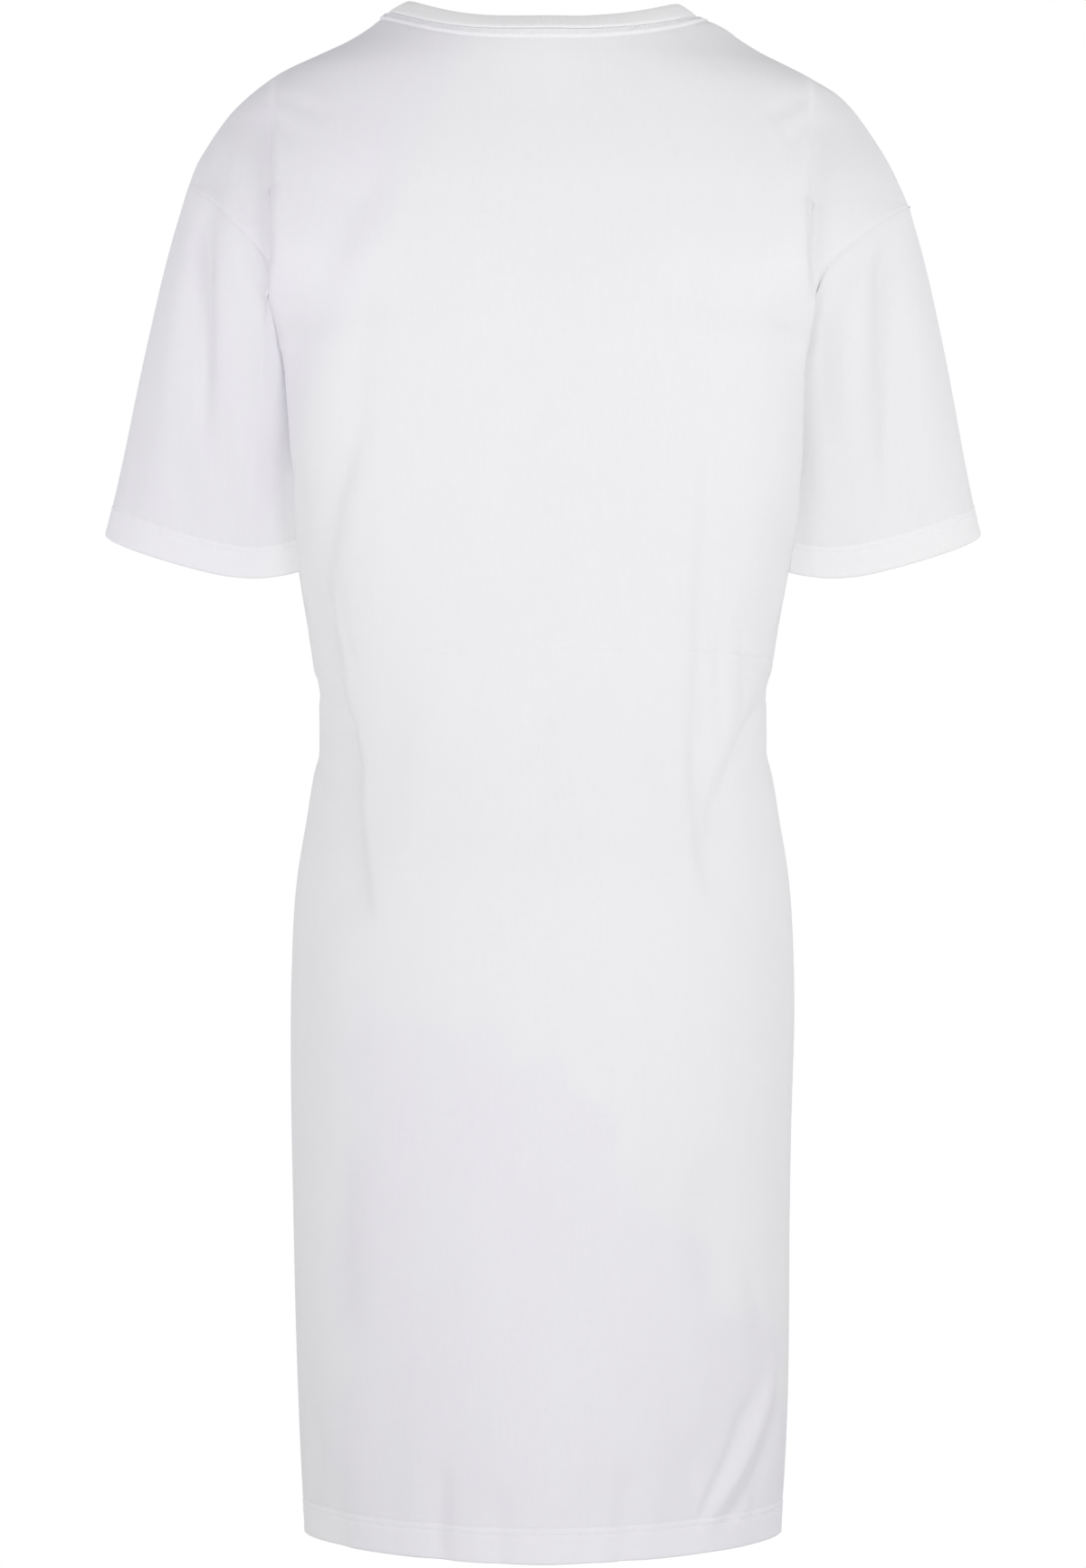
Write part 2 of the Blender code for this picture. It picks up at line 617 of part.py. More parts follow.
def mitre_armhole(hand, normals, sleeve_normal):
    """Turns the bodice's and the sleeve's edges at the armhole seam towards each other."""
    own = armhole_loop(normals, hand)
    shared, amount = mitre(own, sleeve_normal[0])
    bodice = turned(own, shared, amount) * np.array([hand, 1, 1])
    sleeve_normal[0] = turned(sleeve_normal[0], shared, amount)
    column = -1 if hand == RIGHT else 0
    normals[BACK][armhole_rows(), column] = bodice[:UNDERARM_TO_SHOULDER + 1]
    in_front = np.append(bodice[UNDERARM_TO_SHOULDER:], bodice[:1], axis=0)
    normals[FRONT][armhole_rows(), column] = in_front[::-1]


def main():
    clear_scene()
    bodice = {side: bodice_points(side) for side in (BACK, FRONT)}
    normals = {side: body_normals(side, bodice[side]) for side in (BACK, FRONT)}
    neck_normal = mitre_neck(bodice, normals)
    for name, hand in (("sleeve_left", LEFT), ("sleeve_right", RIGHT)):
        sleeve = sleeve_grid(hand, armhole_loop(bodice, hand))
        sleeve_normal = normals_of(sleeve, closed=True)
        mitre_armhole(hand, normals, sleeve_normal)
        make_sleeve(name, hand, sleeve, sleeve_normal)
    for name, side in (("back", BACK), ("front", FRONT)):
        ply = np.full(len(bodice[side]), JERSEY)
        make_panel(name + "_bodice", side, bodice[side], normals[side], ply)
        skirt = skirt_points(side)
        ply = np.full(len(skirt), JERSEY)
        ply[:2] = HEM_PLY
        make_panel(name + "_skirt", side, skirt, body_normals(side, skirt), ply)
    make_neckband(neck_loop(bodice), neck_normal)


main()
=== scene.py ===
"""The look of a white cotton jersey t-shirt dress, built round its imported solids.

The dress is drawn as it is sewn: a back and a front, each cut at the waist seam, two sleeves set into
dropped armholes, and a band of rib round the neck. Every piece of cloth is a shell on the form of its
solid, worked out on a grid of rows and columns that lie close together beside the seams and hems. Folds
are bells across short bowed lines, the seams are grooves, and the stitching is laid along the cloth.

Metres, +Z up. The back of the dress faces -Y, +X is the wearer's right, and the origin is the neck base.
"""

import math

import bpy
import numpy as np
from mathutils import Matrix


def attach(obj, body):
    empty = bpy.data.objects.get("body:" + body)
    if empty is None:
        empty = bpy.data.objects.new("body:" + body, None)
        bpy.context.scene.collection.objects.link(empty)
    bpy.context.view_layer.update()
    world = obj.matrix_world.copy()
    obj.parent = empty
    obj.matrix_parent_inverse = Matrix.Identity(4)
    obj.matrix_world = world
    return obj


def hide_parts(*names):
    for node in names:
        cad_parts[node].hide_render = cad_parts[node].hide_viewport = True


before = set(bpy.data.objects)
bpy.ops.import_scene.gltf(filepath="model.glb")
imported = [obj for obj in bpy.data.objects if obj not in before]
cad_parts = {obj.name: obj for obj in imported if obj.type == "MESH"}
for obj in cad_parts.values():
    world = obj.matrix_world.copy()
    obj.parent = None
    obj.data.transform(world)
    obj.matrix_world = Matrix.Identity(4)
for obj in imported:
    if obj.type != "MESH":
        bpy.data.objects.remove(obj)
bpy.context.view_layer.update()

BACK = -1
FRONT = 1
LEFT = -1
RIGHT = 1
TINY = 1e-9
MILLIMETRES = 1000

# Cloth, hems and seams
JERSEY = 0.0011
HEM_PLY = 0.0020
RIM_ROUND = 0.97
RIB_PLY = 0.0021
SKIRT_HEM = 0.0210
SLEEVE_HEM = 0.0200
NEEDLE_GAP = 0.0040
NECK_STITCHES = (0.0018, 0.0051)
BAND_WIDTH = 0.0145
GROOVE_DEPTH = 0.00016
GROOVE_WIDTH = 0.0011
ALLOWANCE = 0.0080
ALLOWANCE_EDGE = 0.0037
ALLOWANCE_RISE = 0.00011
UNDER_SEAM_DEPTH = 0.0004
UNDER_SEAM_WIDTH = 0.0022
HEM_RISE = 0.00030
HEM_EDGE = 0.0012
HEM_PLY_PAST = 0.0010
DOUBLED_PAST = 0.0004
DOUBLED_EDGE = 0.0010
NECK_STRIP = 0.0060
NECK_STRIP_RISE = 0.00060
NECK_STRIP_EDGE = 0.0010

# Grooves and ridges along an edge: their distance, half width and height
HEM_GROOVES = [(0, 0.0006, -0.00034), (-NEEDLE_GAP, 0.0006, -0.00034)]
HEM_ROLL = [(0.0025, 0.0030, 0.00025)]
NECK_GROOVES = [(0, 0.0009, -0.0012), (0.0046, 0.0012, 0.00016), (0.0070, 0.0011, -0.00032)]

# Puckers along the stitching: waves a metre, phase and height, and the bell across them
HEM_PUCKERS = [(610, 0, 0.00011), (402, 1.3, 0.000088), (271, 4.0, 0.000066)]
HEM_PUCKERED = (-0.0030, 0.0075)
NECK_PUCKERS = [(330, 0, 0.00010), (517, 2.0, 0.00010)]
NECK_PUCKERED = (0.0040, 0.0030)

# Rows beside a seam, and rows from a hem's edge up past its stitching
SEAM_STEPS = np.array([0, 0.35, 0.8, 1.3, 1.9, 2.7, 3.7, 5.0, 6.6, 8.6, 11.0]) / MILLIMETRES
HEM_STEPS = np.array([
    0, 0.12, 0.3, 0.55, 0.85, 1.2, 2.0, 3.5, 5.5, 8.0, 11.0, 13.5, 15.3, 16.3, 17.0, 17.6, 18.3, 19.2,
    20.0, 20.5, 21.0, 21.5, 22.0, 22.7, 23.8, 26.0,
]) / MILLIMETRES
NECK_STEPS = np.array([
    0, 0.35, 0.8, 1.3, 1.8, 2.4, 3.0, 3.6, 4.2, 4.7, 5.1, 5.5, 5.9, 6.3, 6.8, 7.4, 8.2, 9.5, 11.5,
]) / MILLIMETRES

# Levels of the long seams, from the neck base
HEM_LEVEL = -0.935
WAIST_CENTRE = {BACK: -0.391, FRONT: -0.395}
WAIST_SIDE = {LEFT: -0.4075, RIGHT: -0.3970}
NECK_CENTRE = {BACK: -0.0165, FRONT: -0.078}
LEVEL_AT_SHOULDER_END = {BACK: -0.121, FRONT: -0.134}
NECK_ROUNDNESS = 3.0
ROW_ROUNDNESS = 2.0

SQUARENESS = "squareness"
WIDTH = {LEFT: "width_left", RIGHT: "width_right"}
SECTION_COLUMNS = {WIDTH[LEFT]: 1, WIDTH[RIGHT]: 2, BACK: 3, FRONT: 4, SQUARENESS: 5}
SECTIONS = [
    # height  width_left  width_right  behind  in_front  squareness (2 is an ellipse)
    (-0.9350, 0.1468, 0.1468, 0.1120, 0.1000, 1.66),
    (-0.9000, 0.1490, 0.1490, 0.1130, 0.1010, 1.72),
    (-0.8200, 0.1524, 0.1520, 0.1140, 0.1020, 1.85),
    (-0.7400, 0.1545, 0.1530, 0.1155, 0.1020, 1.93),
    (-0.6500, 0.1558, 0.1550, 0.1160, 0.1020, 2.00),
    (-0.5900, 0.1550, 0.1550, 0.1140, 0.1010, 2.05),
    (-0.5300, 0.1517, 0.1517, 0.1080, 0.0990, 2.08),
    (-0.4850, 0.1446, 0.1446, 0.0980, 0.0970, 2.05),
    (-0.4350, 0.1380, 0.1382, 0.0890, 0.0950, 2.08),
    (-0.3950, 0.1423, 0.1423, 0.0870, 0.0980, 2.25),
    (-0.3430, 0.1505, 0.1512, 0.0910, 0.1060, 2.65),
    (-0.3000, 0.1537, 0.1588, 0.0960, 0.1130, 3.10),
    (-0.2500, 0.1575, 0.1607, 0.1010, 0.1170, 3.50),
    (-0.2120, 0.1607, 0.1622, 0.1035, 0.1160, 3.60),
    (-0.2050, 0.1610, 0.1625, 0.1038, 0.1155, 3.60),
    (-0.1900, 0.1685, 0.1700, 0.1042, 0.1140, 3.40),
    (-0.1720, 0.1900, 0.1910, 0.1040, 0.1115, 3.05),
    (-0.1560, 0.2130, 0.2135, 0.1030, 0.1080, 2.75),
    (-0.1400, 0.2240, 0.2250, 0.1012, 0.1042, 2.52),
    (-0.1230, 0.2255, 0.2272, 0.0985, 0.1005, 2.36),
    (-0.1050, 0.2195, 0.2207, 0.0950, 0.0965, 2.28),
    (-0.0900, 0.2137, 0.2137, 0.0912, 0.0930, 2.20),
    (-0.0790, 0.2070, 0.2072, 0.0880, 0.0905, 2.16),
    (-0.0675, 0.1992, 0.1997, 0.0845, 0.0880, 2.10),
    (-0.0560, 0.1902, 0.1912, 0.0810, 0.0855, 2.04),
    (-0.0450, 0.1785, 0.1798, 0.0775, 0.0830, 1.98),
    (-0.0340, 0.1620, 0.1598, 0.0740, 0.0805, 1.92),
    (-0.0230, 0.1390, 0.1368, 0.0700, 0.0780, 1.86),
    (-0.0155, 0.1233, 0.1245, 0.0675, 0.0765, 1.82),
    (-0.0040, 0.1055, 0.1075, 0.0635, 0.0740, 1.76),
    (0.0000, 0.1010, 0.0965, 0.0620, 0.0730, 1.75),
    (0.0040, 0.0965, 0.0860, 0.0605, 0.0720, 1.75),
]
NECK_POINT = {LEFT: 0.0040, RIGHT: 0.0000}

# Armhole seam and sleeve hem
SHOULDER_END = {LEFT: -0.1040, RIGHT: -0.1170}
UNDERARM = -0.2050
ARMHOLE_SCOOP = 0.018
CUFF_OUTER = (0.2722, -0.3178)
CUFF_INNER = (0.1380, -0.3413)
CUFF_FORWARD = 0.018
CUFF_DEPTH = {BACK: 0.036, FRONT: 0.073}
CUFF_DROP = 0.0135
CUFF_SKEW = 0.30
CUFF_FLATNESS = 0.3
CUFF_LIFT = 0.0115
SLEEVE_CROWN = 0.0025
ROUNDEST = 1 / 3
SLEEVE_FULLNESS = {BACK: 0.009, FRONT: 0.007}
FULL_OVER_ARM = 0.8
CLEAR_AT_UNDERARM = 0.0003
CLEAR_AT_CUFF = 0.0008
CLEAR_BLEND = 0.0003

# Neckband
BAND_LEAN = {BACK: math.radians(50), FRONT: math.radians(38)}
BAND_SIDE_LEAN = {LEFT: math.radians(61), RIGHT: math.radians(54)}
BAND_CLIMB = np.array([0, 0.04, 0.10, 0.18, 0.32, 0.50, 0.68, 0.84, 1.0])
BAND_FOLD_STEPS = 5
BAND_SWELL = 0.00035
BAND_SWELL_POWER = 0.7
BAND_TUCK = 0.0007
BAND_TUCK_REACH = 0.0009
BAND_EASING = (3, 5, 7)
NECK_AXIS_Y = 0.010
RIB_PITCH = 0.0017
RIB_RISE = 0.00016
RIB_POWER = 1.5
RIBS_FADE_IN = 0.0016
STEPS_A_RIB = 5

# Rows and columns of the grids
HALF_COLUMNS = 78
FINE_COLUMNS = 240
EASE_ROUNDS = 150
EASE_ROWS = 14
EASE_FROM_END = 0.010
SKIRT_ROWS = 168
TORSO_ROWS = 62
ARMHOLE_ROWS = 88
SHOULDER_ROWS = 46
SLEEVE_ROWS = 62
FINE_STEPS = 400
FINEST_STEPS = 4000
NEAR_NECK = 1e-3
SHARP_FROM = math.radians(55)

# Folds show where the cloth faces them, and fade in below the underarm and down the sleeve
FACING_FULL = 0.45
SIDEWAYS_FROM = 0.15
SIDEWAYS_BLEND = 0.5
SIDE_FOLDS_BLEND = 0.02
SLEEVE_FACING_FULL = 0.5
SLEEVE_FOLDS_BLEND = 1 / 6

# The fold of the back that hangs over each sleeve, and the sleeve's face behind it
CREST_WIDTH = 0.0075
RECESS_WIDTH = 0.0085
RECESS_BEHIND = 0.0130
FACE_BEHIND = 0.0060
FACE_SLOPE = 0.35
FACE_CURVE = 14.0
FACE_BLEND = 0.0060
FACE_EASE = 0.0050
FACE_EDGE = 0.0030
TUCK_DEPTH = 0.0045
TUCK_BEHIND = 0.0070
TUCK_WIDTH = 0.0080
TUCK_REACH = 0.0120
SMOOTH_ROUNDS = 14
SMOOTH_FROM = 0.0040
SMOOTH_PAST = 0.0260
SMOOTH_FADE = 0.0080
CREST = [
    # height  depth of its crest  how far it stands out  how far the side draws in behind it
    (-0.3800, -0.0200, 0.0000, 0.0000),
    (-0.3560, -0.0230, 0.0010, 0.0030),
    (-0.3350, -0.0270, 0.0012, 0.0046),
    (-0.3000, -0.0360, 0.0014, 0.0056),
    (-0.2700, -0.0430, 0.0014, 0.0062),
    (-0.2400, -0.0520, 0.0022, 0.0066),
    (-0.2150, -0.0590, 0.0048, 0.0066),
    (-0.2050, -0.0620, 0.0080, 0.0060),
    (-0.1950, -0.0650, 0.0074, 0.0050),
    (-0.1750, -0.0720, 0.0036, 0.0020),
    (-0.1550, -0.0780, 0.0000, 0.0000),
]
FOLD_END = 0.5
BODY_FOLDS = {
    # x0, z0, x1, z1, bow, half width and height in millimetres, then skew (above 0 is wider on the left)
    BACK: [
        (-101, -110, -135, -183, 4, 14, -2, 0.2),
        (-105, -175, -112, -255, 0, 12, -2.2, 0),
        (-112, -260, -136, -365, 4, 11.5, -4, 0.3),
        (86, -170, 99, -300, -3, 12.5, -3.2, -0.2),
        (98.5, -300, 92.5, -460, 0, 11.5, -3.2, -0.5),
        (93, -450, 101, -535, 2, 11, -3, -0.5),
        (136, -422, 99, -502, 2, 8.5, -3.6, -0.3),
        (134.5, -424, 99.5, -502, 2, 3, -1.6, 0),
        (-134.5, -356, -121.5, -433, 1, 11, -4.5, 0.65),
        (-122.5, -428, -114, -474, -2, 12, -5.4, 0.7),
        (-115.5, -474, -106, -545, 1, 18, -5, 0.78),
        (-123.5, -430, -112, -472, -2, 2.8, -1.2, 0),
        (0, -408, 0, -520, 2, 25, -2.5, 0),
        (-13, -245, -11, -355, 2, 20, -1.1, 0),
        (-169.5, -56, -167.5, -183, 0, 13, -9, 0.7),
        (168, -50, 164, -185, 0, 15, -9.5, -0.75),
        (-199, -85, -201, -140, 1, 6, -3, 0),
        (-121, -695, -121, -800, 3, 15, -2.8, 0.2),
        (98, -705, 106, -780, 2, 19, -3.6, -0.3),
        (127, -774, 144.5, -834, 2, 4.8, -2, 0.2),
        (127.5, -844, 95.5, -915, 1, 4.6, -3, 0),
        (140, -830, 100, -913, -6, 4.4, 3, 0),
        (143, -856, 112, -917, -5, 4.2, -2.4, 0),
        (116, -862, 92.5, -912, 0, 3.4, 1.2, 0),
        (138, -880, 126.5, -920, 1, 3.4, -1.1, 0),
        (90, -870, 88.5, -928, 1, 12, -2.6, 0.3),
        (-60.5, -882, -61.5, -940, 1, 8.5, -2.6, 0.2),
        (-122.5, -890, -123.5, -940, 1, 7.5, -2, 0.2),
        # lesser creases
        (8, -30, 22, -160, 0, 34, -1.5, 0),
        (108.1, -380, 109.7, -437, 1, 3.8, -1, 0.3),
        (119.5, -374, 122.2, -432, -1, 3.6, -1, -0.3),
        (97.5, -396, 99, -442, 1, 3.4, -0.7, 0),
        (-130, -354, -121.6, -405, 2, 3.6, -1, 0.3),
        (-123, -352, -114.6, -402, 2, 3.4, -0.9, 0),
        (-136, -376, -127, -418, 0, 4.5, -1.1, 0.2),
        (0, -412, 1.1, -440, 0, 11, -1, 0),
        (60.5, -415, 58.4, -545, 3, 13, 1, 0),
        (-70.3, -415, -86.5, -523, -4, 13, 1.1, 0),
        (-170.3, -66, -144, -87, -2, 6, -1, 0),
        (170.3, -67, 148, -87, 2, 6, -1, 0),
        (-160, -56, -133, -70, -1, 5.2, -0.8, 0),
        (161, -56, 137, -70, 1, 5.2, -0.8, 0),
        (-26, -895, -26, -940, 1, 7, -1.8, 0),
        (30, -885, 28, -940, -1, 8, -1.7, 0.2),
        (50, -884, 48.5, -940, 1, 7.5, -2.2, -0.2),
        (-142, -560, -144, -670, 2, 11, -1.3, 0),
        (-90, -820, -88, -920, 3, 14, -1.2, 0),
        (138, -550, 142, -640, -2, 12, -1.2, 0),
        (50, -650, 56, -810, 4, 22, 1.2, 0),
        (-40, -670, -48, -830, -4, 22, 1, 0),
    ],
    FRONT: [
        (-85, -240, -70, -370, 4, 15, -3, 0.2),
        (88, -235, 78, -360, -4, 15, -3.2, -0.2),
        (-132, -419, -96, -489, -4, 8, -4, -0.4),
        (130, -423, 101, -499, 4, 8.2, -3.7, 0.4),
        (0, -300, 0, -400, 2, 26, -2.5, 0),
        (-166, -85, -160, -160, 2, 10, -3.6, 0),
        (167, -90, 160, -165, -2, 10, -3.6, 0),
        (-90, -600, -98, -760, 5, 17, -2.8, 0.2),
        (105, -640, 110, -800, -4, 17, -3, -0.2),
        (45, -840, 50, -938, 2, 14.5, -2.4, 0.2),
        (-105, -870, -112, -938, 2, 13.5, -3, 0),
        # lesser creases
        (-95, -118, -125, -185, 4, 11, -2, 0.2),
        (98, -125, 126, -190, -4, 11, -1.9, -0.2),
        (-108, -372, -106, -430, 1, 4, -1, 0.2),
        (-96, -380, -95, -426, 1, 3.6, -0.8, 0),
        (112, -370, 108, -432, -1, 4.2, -1.1, -0.2),
        (123, -366, 118, -418, -1, 3.6, -0.9, 0),
        (98, -388, 95, -436, 0, 3.4, -0.7, 0),
        (-126, -482, -109, -540, 3, 8, -2.4, -0.3),
        (124, -505, 112, -562, -3, 8, -1.9, 0.3),
        (-30, -420, -38, -530, -3, 15, -1.2, 0),
        (40, -430, 48, -540, 3, 15, -1.3, 0),
        (-40, -890, -39, -940, 1, 9, -1.2, 0),
        (4, -895, 5, -940, 0, 8.5, -1.1, 0),
        (90, -885, 93, -940, 1, 10, -1.5, 0.2),
        (25, -640, 30, -800, 3, 22, 1.2, 0),
    ],
}
SIDE_FOLDS = {
    # the same columns, with y in the place of x
    LEFT: [
        (-50, -390, 35, -418, 4, 6.5, -1.3, 0.2),
        (-40, -430, 40, -412, -4, 6, -1.2, 0),
        (45, -445, -35, -470, 4, 8, -1.3, 0.2),
        (20, -230, 55, -310, 4, 9, -1.4, 0),
        (-15, -235, -50, -300, -4, 8.5, -1.3, 0),
        (15, -620, 25, -790, 4, 14, -1.2, 0),
        (-35, -850, -30, -938, 2, 11, -1.2, 0),
    ],
    RIGHT: [
        (-55, -400, 30, -415, 3, 6, -1.3, 0),
        (50, -385, -20, -428, -4, 6.5, -1.2, 0.2),
        (40, -452, -45, -465, 4, 8, -1.3, 0),
        (22, -230, 50, -320, 3, 9, -1.4, 0),
        (-18, -235, -48, -310, -3, 8.5, -1.2, 0),
        (-5, -650, 5, -820, -4, 14, -1.2, 0),
        (30, -860, 28, -938, 2, 11, -1.2, 0),
    ],
}
SLEEVE_FOLDS = {
    # the same columns, with x as the distance from the middle of the dress
    LEFT: {
        BACK: [
            (208, -95, 206, -250, 1, 7.5, -6.2, -0.2),
            (186, -113, 170.5, -188, -2, 7, -4.4, 0.2),
            (222, -150, 238, -305, 3, 12, 1.7, 0),
            (215, -230, 220, -305, -2, 8, -1.2, 0),
            (185, -250, 183, -315, 2, 9, 1.2, 0),
            (248, -255, 256, -315, 1, 6.5, -0.9, 0),
            (166, -262, 158, -320, 0, 4.2, -2.2, 0),
        ],
        FRONT: [
            (200, -150, 204, -245, 3, 10.5, -3, 0.2),
            (178, -160, 172, -265, -3, 9.5, -3.2, -0.2),
            (226, -180, 240, -305, 3, 11, 1.5, 0),
            (212, -260, 216, -315, 1, 7.5, -1.2, 0),
        ],
    },
    RIGHT: {
        BACK: [
            (209.5, -112, 212.5, -288, 2, 11.5, -8.5, -0.3),
            (188.5, -128, 189.5, -288, 1, 9.5, 3.4, 0),
            (168.5, -128, 170, -255, 0, 9.5, -4.6, 0.2),
            (216.5, -108, 223, -136, 1, 4.5, -1.2, 0),
            (233, -200, 242, -305, 2, 11, 1.4, 0),
            (221, -265, 225, -315, 1, 7, -1.2, 0),
        ],
        FRONT: [
            (212, -150, 218, -265, 3, 10.5, -3.2, -0.2),
            (182, -150, 176, -255, -2, 9.5, -3, 0.2),
            (233, -190, 244, -305, 3, 11, 1.4, 0),
            (196, -255, 198, -315, 1, 8, -1.2, 0),
        ],
    },
}

# Slight unevenness of hanging cloth: waves a metre across, waves a metre down, phase, height
RIPPLES = [
    (61, 4, 0.3, 0.00009), (93, -7, 1.9, 0.00008), (131, 11, 4.1, 0.00007), (47, -13, 2.6, 0.00010),
    (173, -9, 5.2, 0.00005), (211, 15, 0.9, 0.00004), (39, 23, 3.3, 0.00009), (79, 31, 1.1, 0.00006),
]

# Stitching
STITCH_PITCH = 0.0030
STITCH_LENGTH = 0.0024
STITCH_RADIUS = 0.00021
STITCH_TAPER = 0.88
STITCH_STANDS = 0.4
STITCH_DIPS = 0.9
STITCH_LEAN = 0.10
STITCH_LEAN_TURN = 2.4
STITCH_SIDES = 6
STITCH_RINGS = 5

# Colours and knit
WHITE = (0.885, 0.884, 0.892, 1)
WHITE_LOW = (0.855, 0.850, 0.868, 1)
# The rib's whites are lighter than the jersey's: painted light, for the light its inward-leaning face
# misses
RIB_PAINTED_LIGHT_WHITE = (0.975, 0.974, 0.982, 1)
RIB_PAINTED_LIGHT_WHITE_LOW = (0.935, 0.933, 0.944, 1)
DOUBLED_WHITE = (0.925, 0.924, 0.932, 1)
# Painted light: a lavender cast of the light, multiplied into the cloth where its patches lie
PAINTED_LAVENDER_CAST = (0.979, 0.968, 1.0, 1)
# The sleeves' whites are a little darker than the body's: painted shade, for the lesser light that falls
# on the sleeves
SLEEVE_PAINTED_SHADE_WHITE = (0.872, 0.871, 0.879, 1)
SLEEVE_PAINTED_SHADE_WHITE_LOW = (0.840, 0.836, 0.852, 1)
THREAD_WHITE = (0.88, 0.88, 0.89, 1)
FLOOR_GREY = (0.6, 0.6, 0.6, 1)
WALE_PITCH = 0.00075
COURSE_PITCH = 0.00058
SLANT = 1.1
RIB_SLANT = 1.0
ROUGHNESS = 0.9
THREAD_ROUGHNESS = 0.6
SHINE = 0.25
FLOOR_SHINE = 0.5
DOUBLED_PALER = 0.5

# Noise in the yarn: cycles a metre across and down, and detail
STREAKS = ((420, 30), 3)
SLUBS = ((45, 620), 3)
CLOUDS = ((26, 14), 2)
RIB_STREAKS = ((300, 60), 3)
TWIST = (2500.0, 1.0)

# How much wales, loops, streaks and slubs add to the bump; streaks, slubs and clouds to the shade
JERSEY_BUMPS = (0.5, 0.35, 1.6, 1.0)
JERSEY_SHADES = (0.40, 0.30, 0.30)
RIB_BUMPS = (0.5, 1.0)

# Bumps: strength and distance
JERSEY_BUMP = (0.35, 0.00018)
RIB_BUMP = (0.35, 0.00015)
THREAD_BUMP = (0.2, 0.0001)

# Painted lavender cast of the light: a noise that moves its borders, and by how much in x and z
WAVER = (14.0, 3.0)
WAVER_X = 0.09
WAVER_Z = 0.12
CLOUDED = 0.4
# Its patches: how strong each is, and its borders as shares of x and z, where it starts and is whole
PAINTED_CAST_PATCHES = [
    (1.0, [(1, -0.43, -0.020, -0.050), (0, 1, -0.44, -0.36)]),
    (1.0, [(0, 1, -0.575, -0.635), (1, 0.6, -0.345, -0.390), (1, 0, -0.135, -0.100)]),
    (0.45, [(1, 0, 0.14, 0.22), (0, 1, -0.30, -0.16)]),
]

# Room: lights as place, target, size, power and colour, and the surround's light below and overhead
LIGHTS = {
    "right_light": ((1.05, -1.57, -0.65), (0.05, 0.0, -0.60), (0.5, 0.9), 6.05, (1.0, 0.998, 0.99)),
    "left_light": ((-1.08, -1.55, -0.70), (-0.05, 0.0, -0.65), (0.5, 0.9), 4.5, (0.995, 0.985, 1.0)),
    "top_light": ((1.2, -0.2, 1.0), (0.15, 0.0, -0.05), (0.6, 0.6), 1.4, (1.0, 0.998, 0.99)),
}
SURROUND = (0.995, 0.993, 1.0, 1)
SURROUND_LOW = 1.14
SURROUND_HIGH = 0.48
SURROUND_BLEND = 0.58
FLOOR_LEVEL = -1.38
FLOOR_RADIUS = 2.2
FLOOR_CORNERS = 64

# Camera
PIXEL = 0.00056
FRAME_HEIGHT = 1732
EYE_DISTANCE = 2.6
EYE_HEIGHT = -0.47264
SENSOR_WIDTH = 36.0


def through(table, column, height):
    """Smooth curve through one column of a table, read at the heights given.

    Between two rows it is a cubic whose slope at each row is the mean slope of the table there.
    """
    rows = np.array(table)
    level = rows[:, 0]
    value = rows[:, column]
    slope = np.gradient(value, level)
    at = np.clip(height, level[0], level[-1])
    below = np.clip(np.searchsorted(level, at, side="right") - 1, 0, len(level) - 2)
    step = level[below + 1] - level[below]
    t = (at - level[below]) / step
    start = value[below] * (1 + 2 * t) * (1 - t) ** 2 + slope[below] * step * t * (1 - t) ** 2
    end = value[below + 1] * t**2 * (3 - 2 * t) + slope[below + 1] * step * t**2 * (t - 1)
    return start + end


def smooth_step(t):
    """0 below 0, 1 above 1, with level ends between."""
    t = np.clip(t, 0.0, 1.0)
    return t * t * (3 - 2 * t)


def unit(vectors):
    """Vectors of length one."""
    return vectors / np.maximum(np.linalg.norm(vectors, axis=-1, keepdims=True), TINY)


def section(column, height):
    """A column of the sections: a half width, the depth behind or in front, or the squareness."""
    return through(SECTIONS, SECTION_COLUMNS[column], height)


def depth_at(side, hand, out, height):
    """Depth of the section behind or in front, at a distance from the middle and a height.

    It is a superellipse: with power p, share of depth to the p and share of width to the p add up to 1.
    """
    power = section(SQUARENESS, height)
    share = np.clip(out / section(WIDTH[hand], height), 0, 1)
    return side * section(side, height) * (1 - share**power) ** (1 / power)


def swing(first, last, cosine):
    """From the first value to the last, as a cosine goes from 1 to -1."""
    return (first + last) / 2 + (first - last) / 2 * cosine


def above_zero(value, blend):
    """Smooth maximum of v and 0, with a blend b: half of v plus the root of v squared and b squared."""
    return (value + np.sqrt(value**2 + blend**2)) / 2


def along(points, axis):
    """Distance from the first row or column to each point, summed along that axis of the grid."""
    step = np.linalg.norm(np.diff(points, axis=axis), axis=-1)
    distance = np.zeros(points.shape[:2])
    if axis == 0:
        distance[1:] = np.cumsum(step, axis=0)
    else:
        distance[:, 1:] = np.cumsum(step, axis=1)
    return distance


def reach_along(line):
    """Distance from the first point of a line to each of its points."""
    return np.append(0, np.cumsum(np.linalg.norm(np.diff(line, axis=0), axis=-1)))


def read_line(where, distance, values):
    """Points or normals of a line, read between its own at the distances given."""
    return np.stack([np.interp(where, distance, values[:, axis]) for axis in range(3)], axis=-1)


def grid_normals(points, closed):
    """Outward normals of a grid, rows first: the cross product of its two directions."""
    if closed:
        wrapped = np.concatenate([points[:, -1:], points, points[:, :1]], axis=1)
        across = np.gradient(wrapped, axis=1)[:, 1:-1]
    else:
        across = np.gradient(points, axis=1)
    return unit(np.cross(across, np.gradient(points, axis=0)))


def body_normals(side, points):
    """Outward normals of a back or front, level with the x-z plane where it meets the other."""
    normal = -side * grid_normals(points, False)
    on_seam = np.abs(points[..., 1]) < SEAM_STEPS[1]
    normal[on_seam, 1] = 0.0
    return unit(normal)


def bell(distance, width):
    """1 on a line, fading to nothing a few widths away."""
    return np.exp(-((distance / width) ** 2))


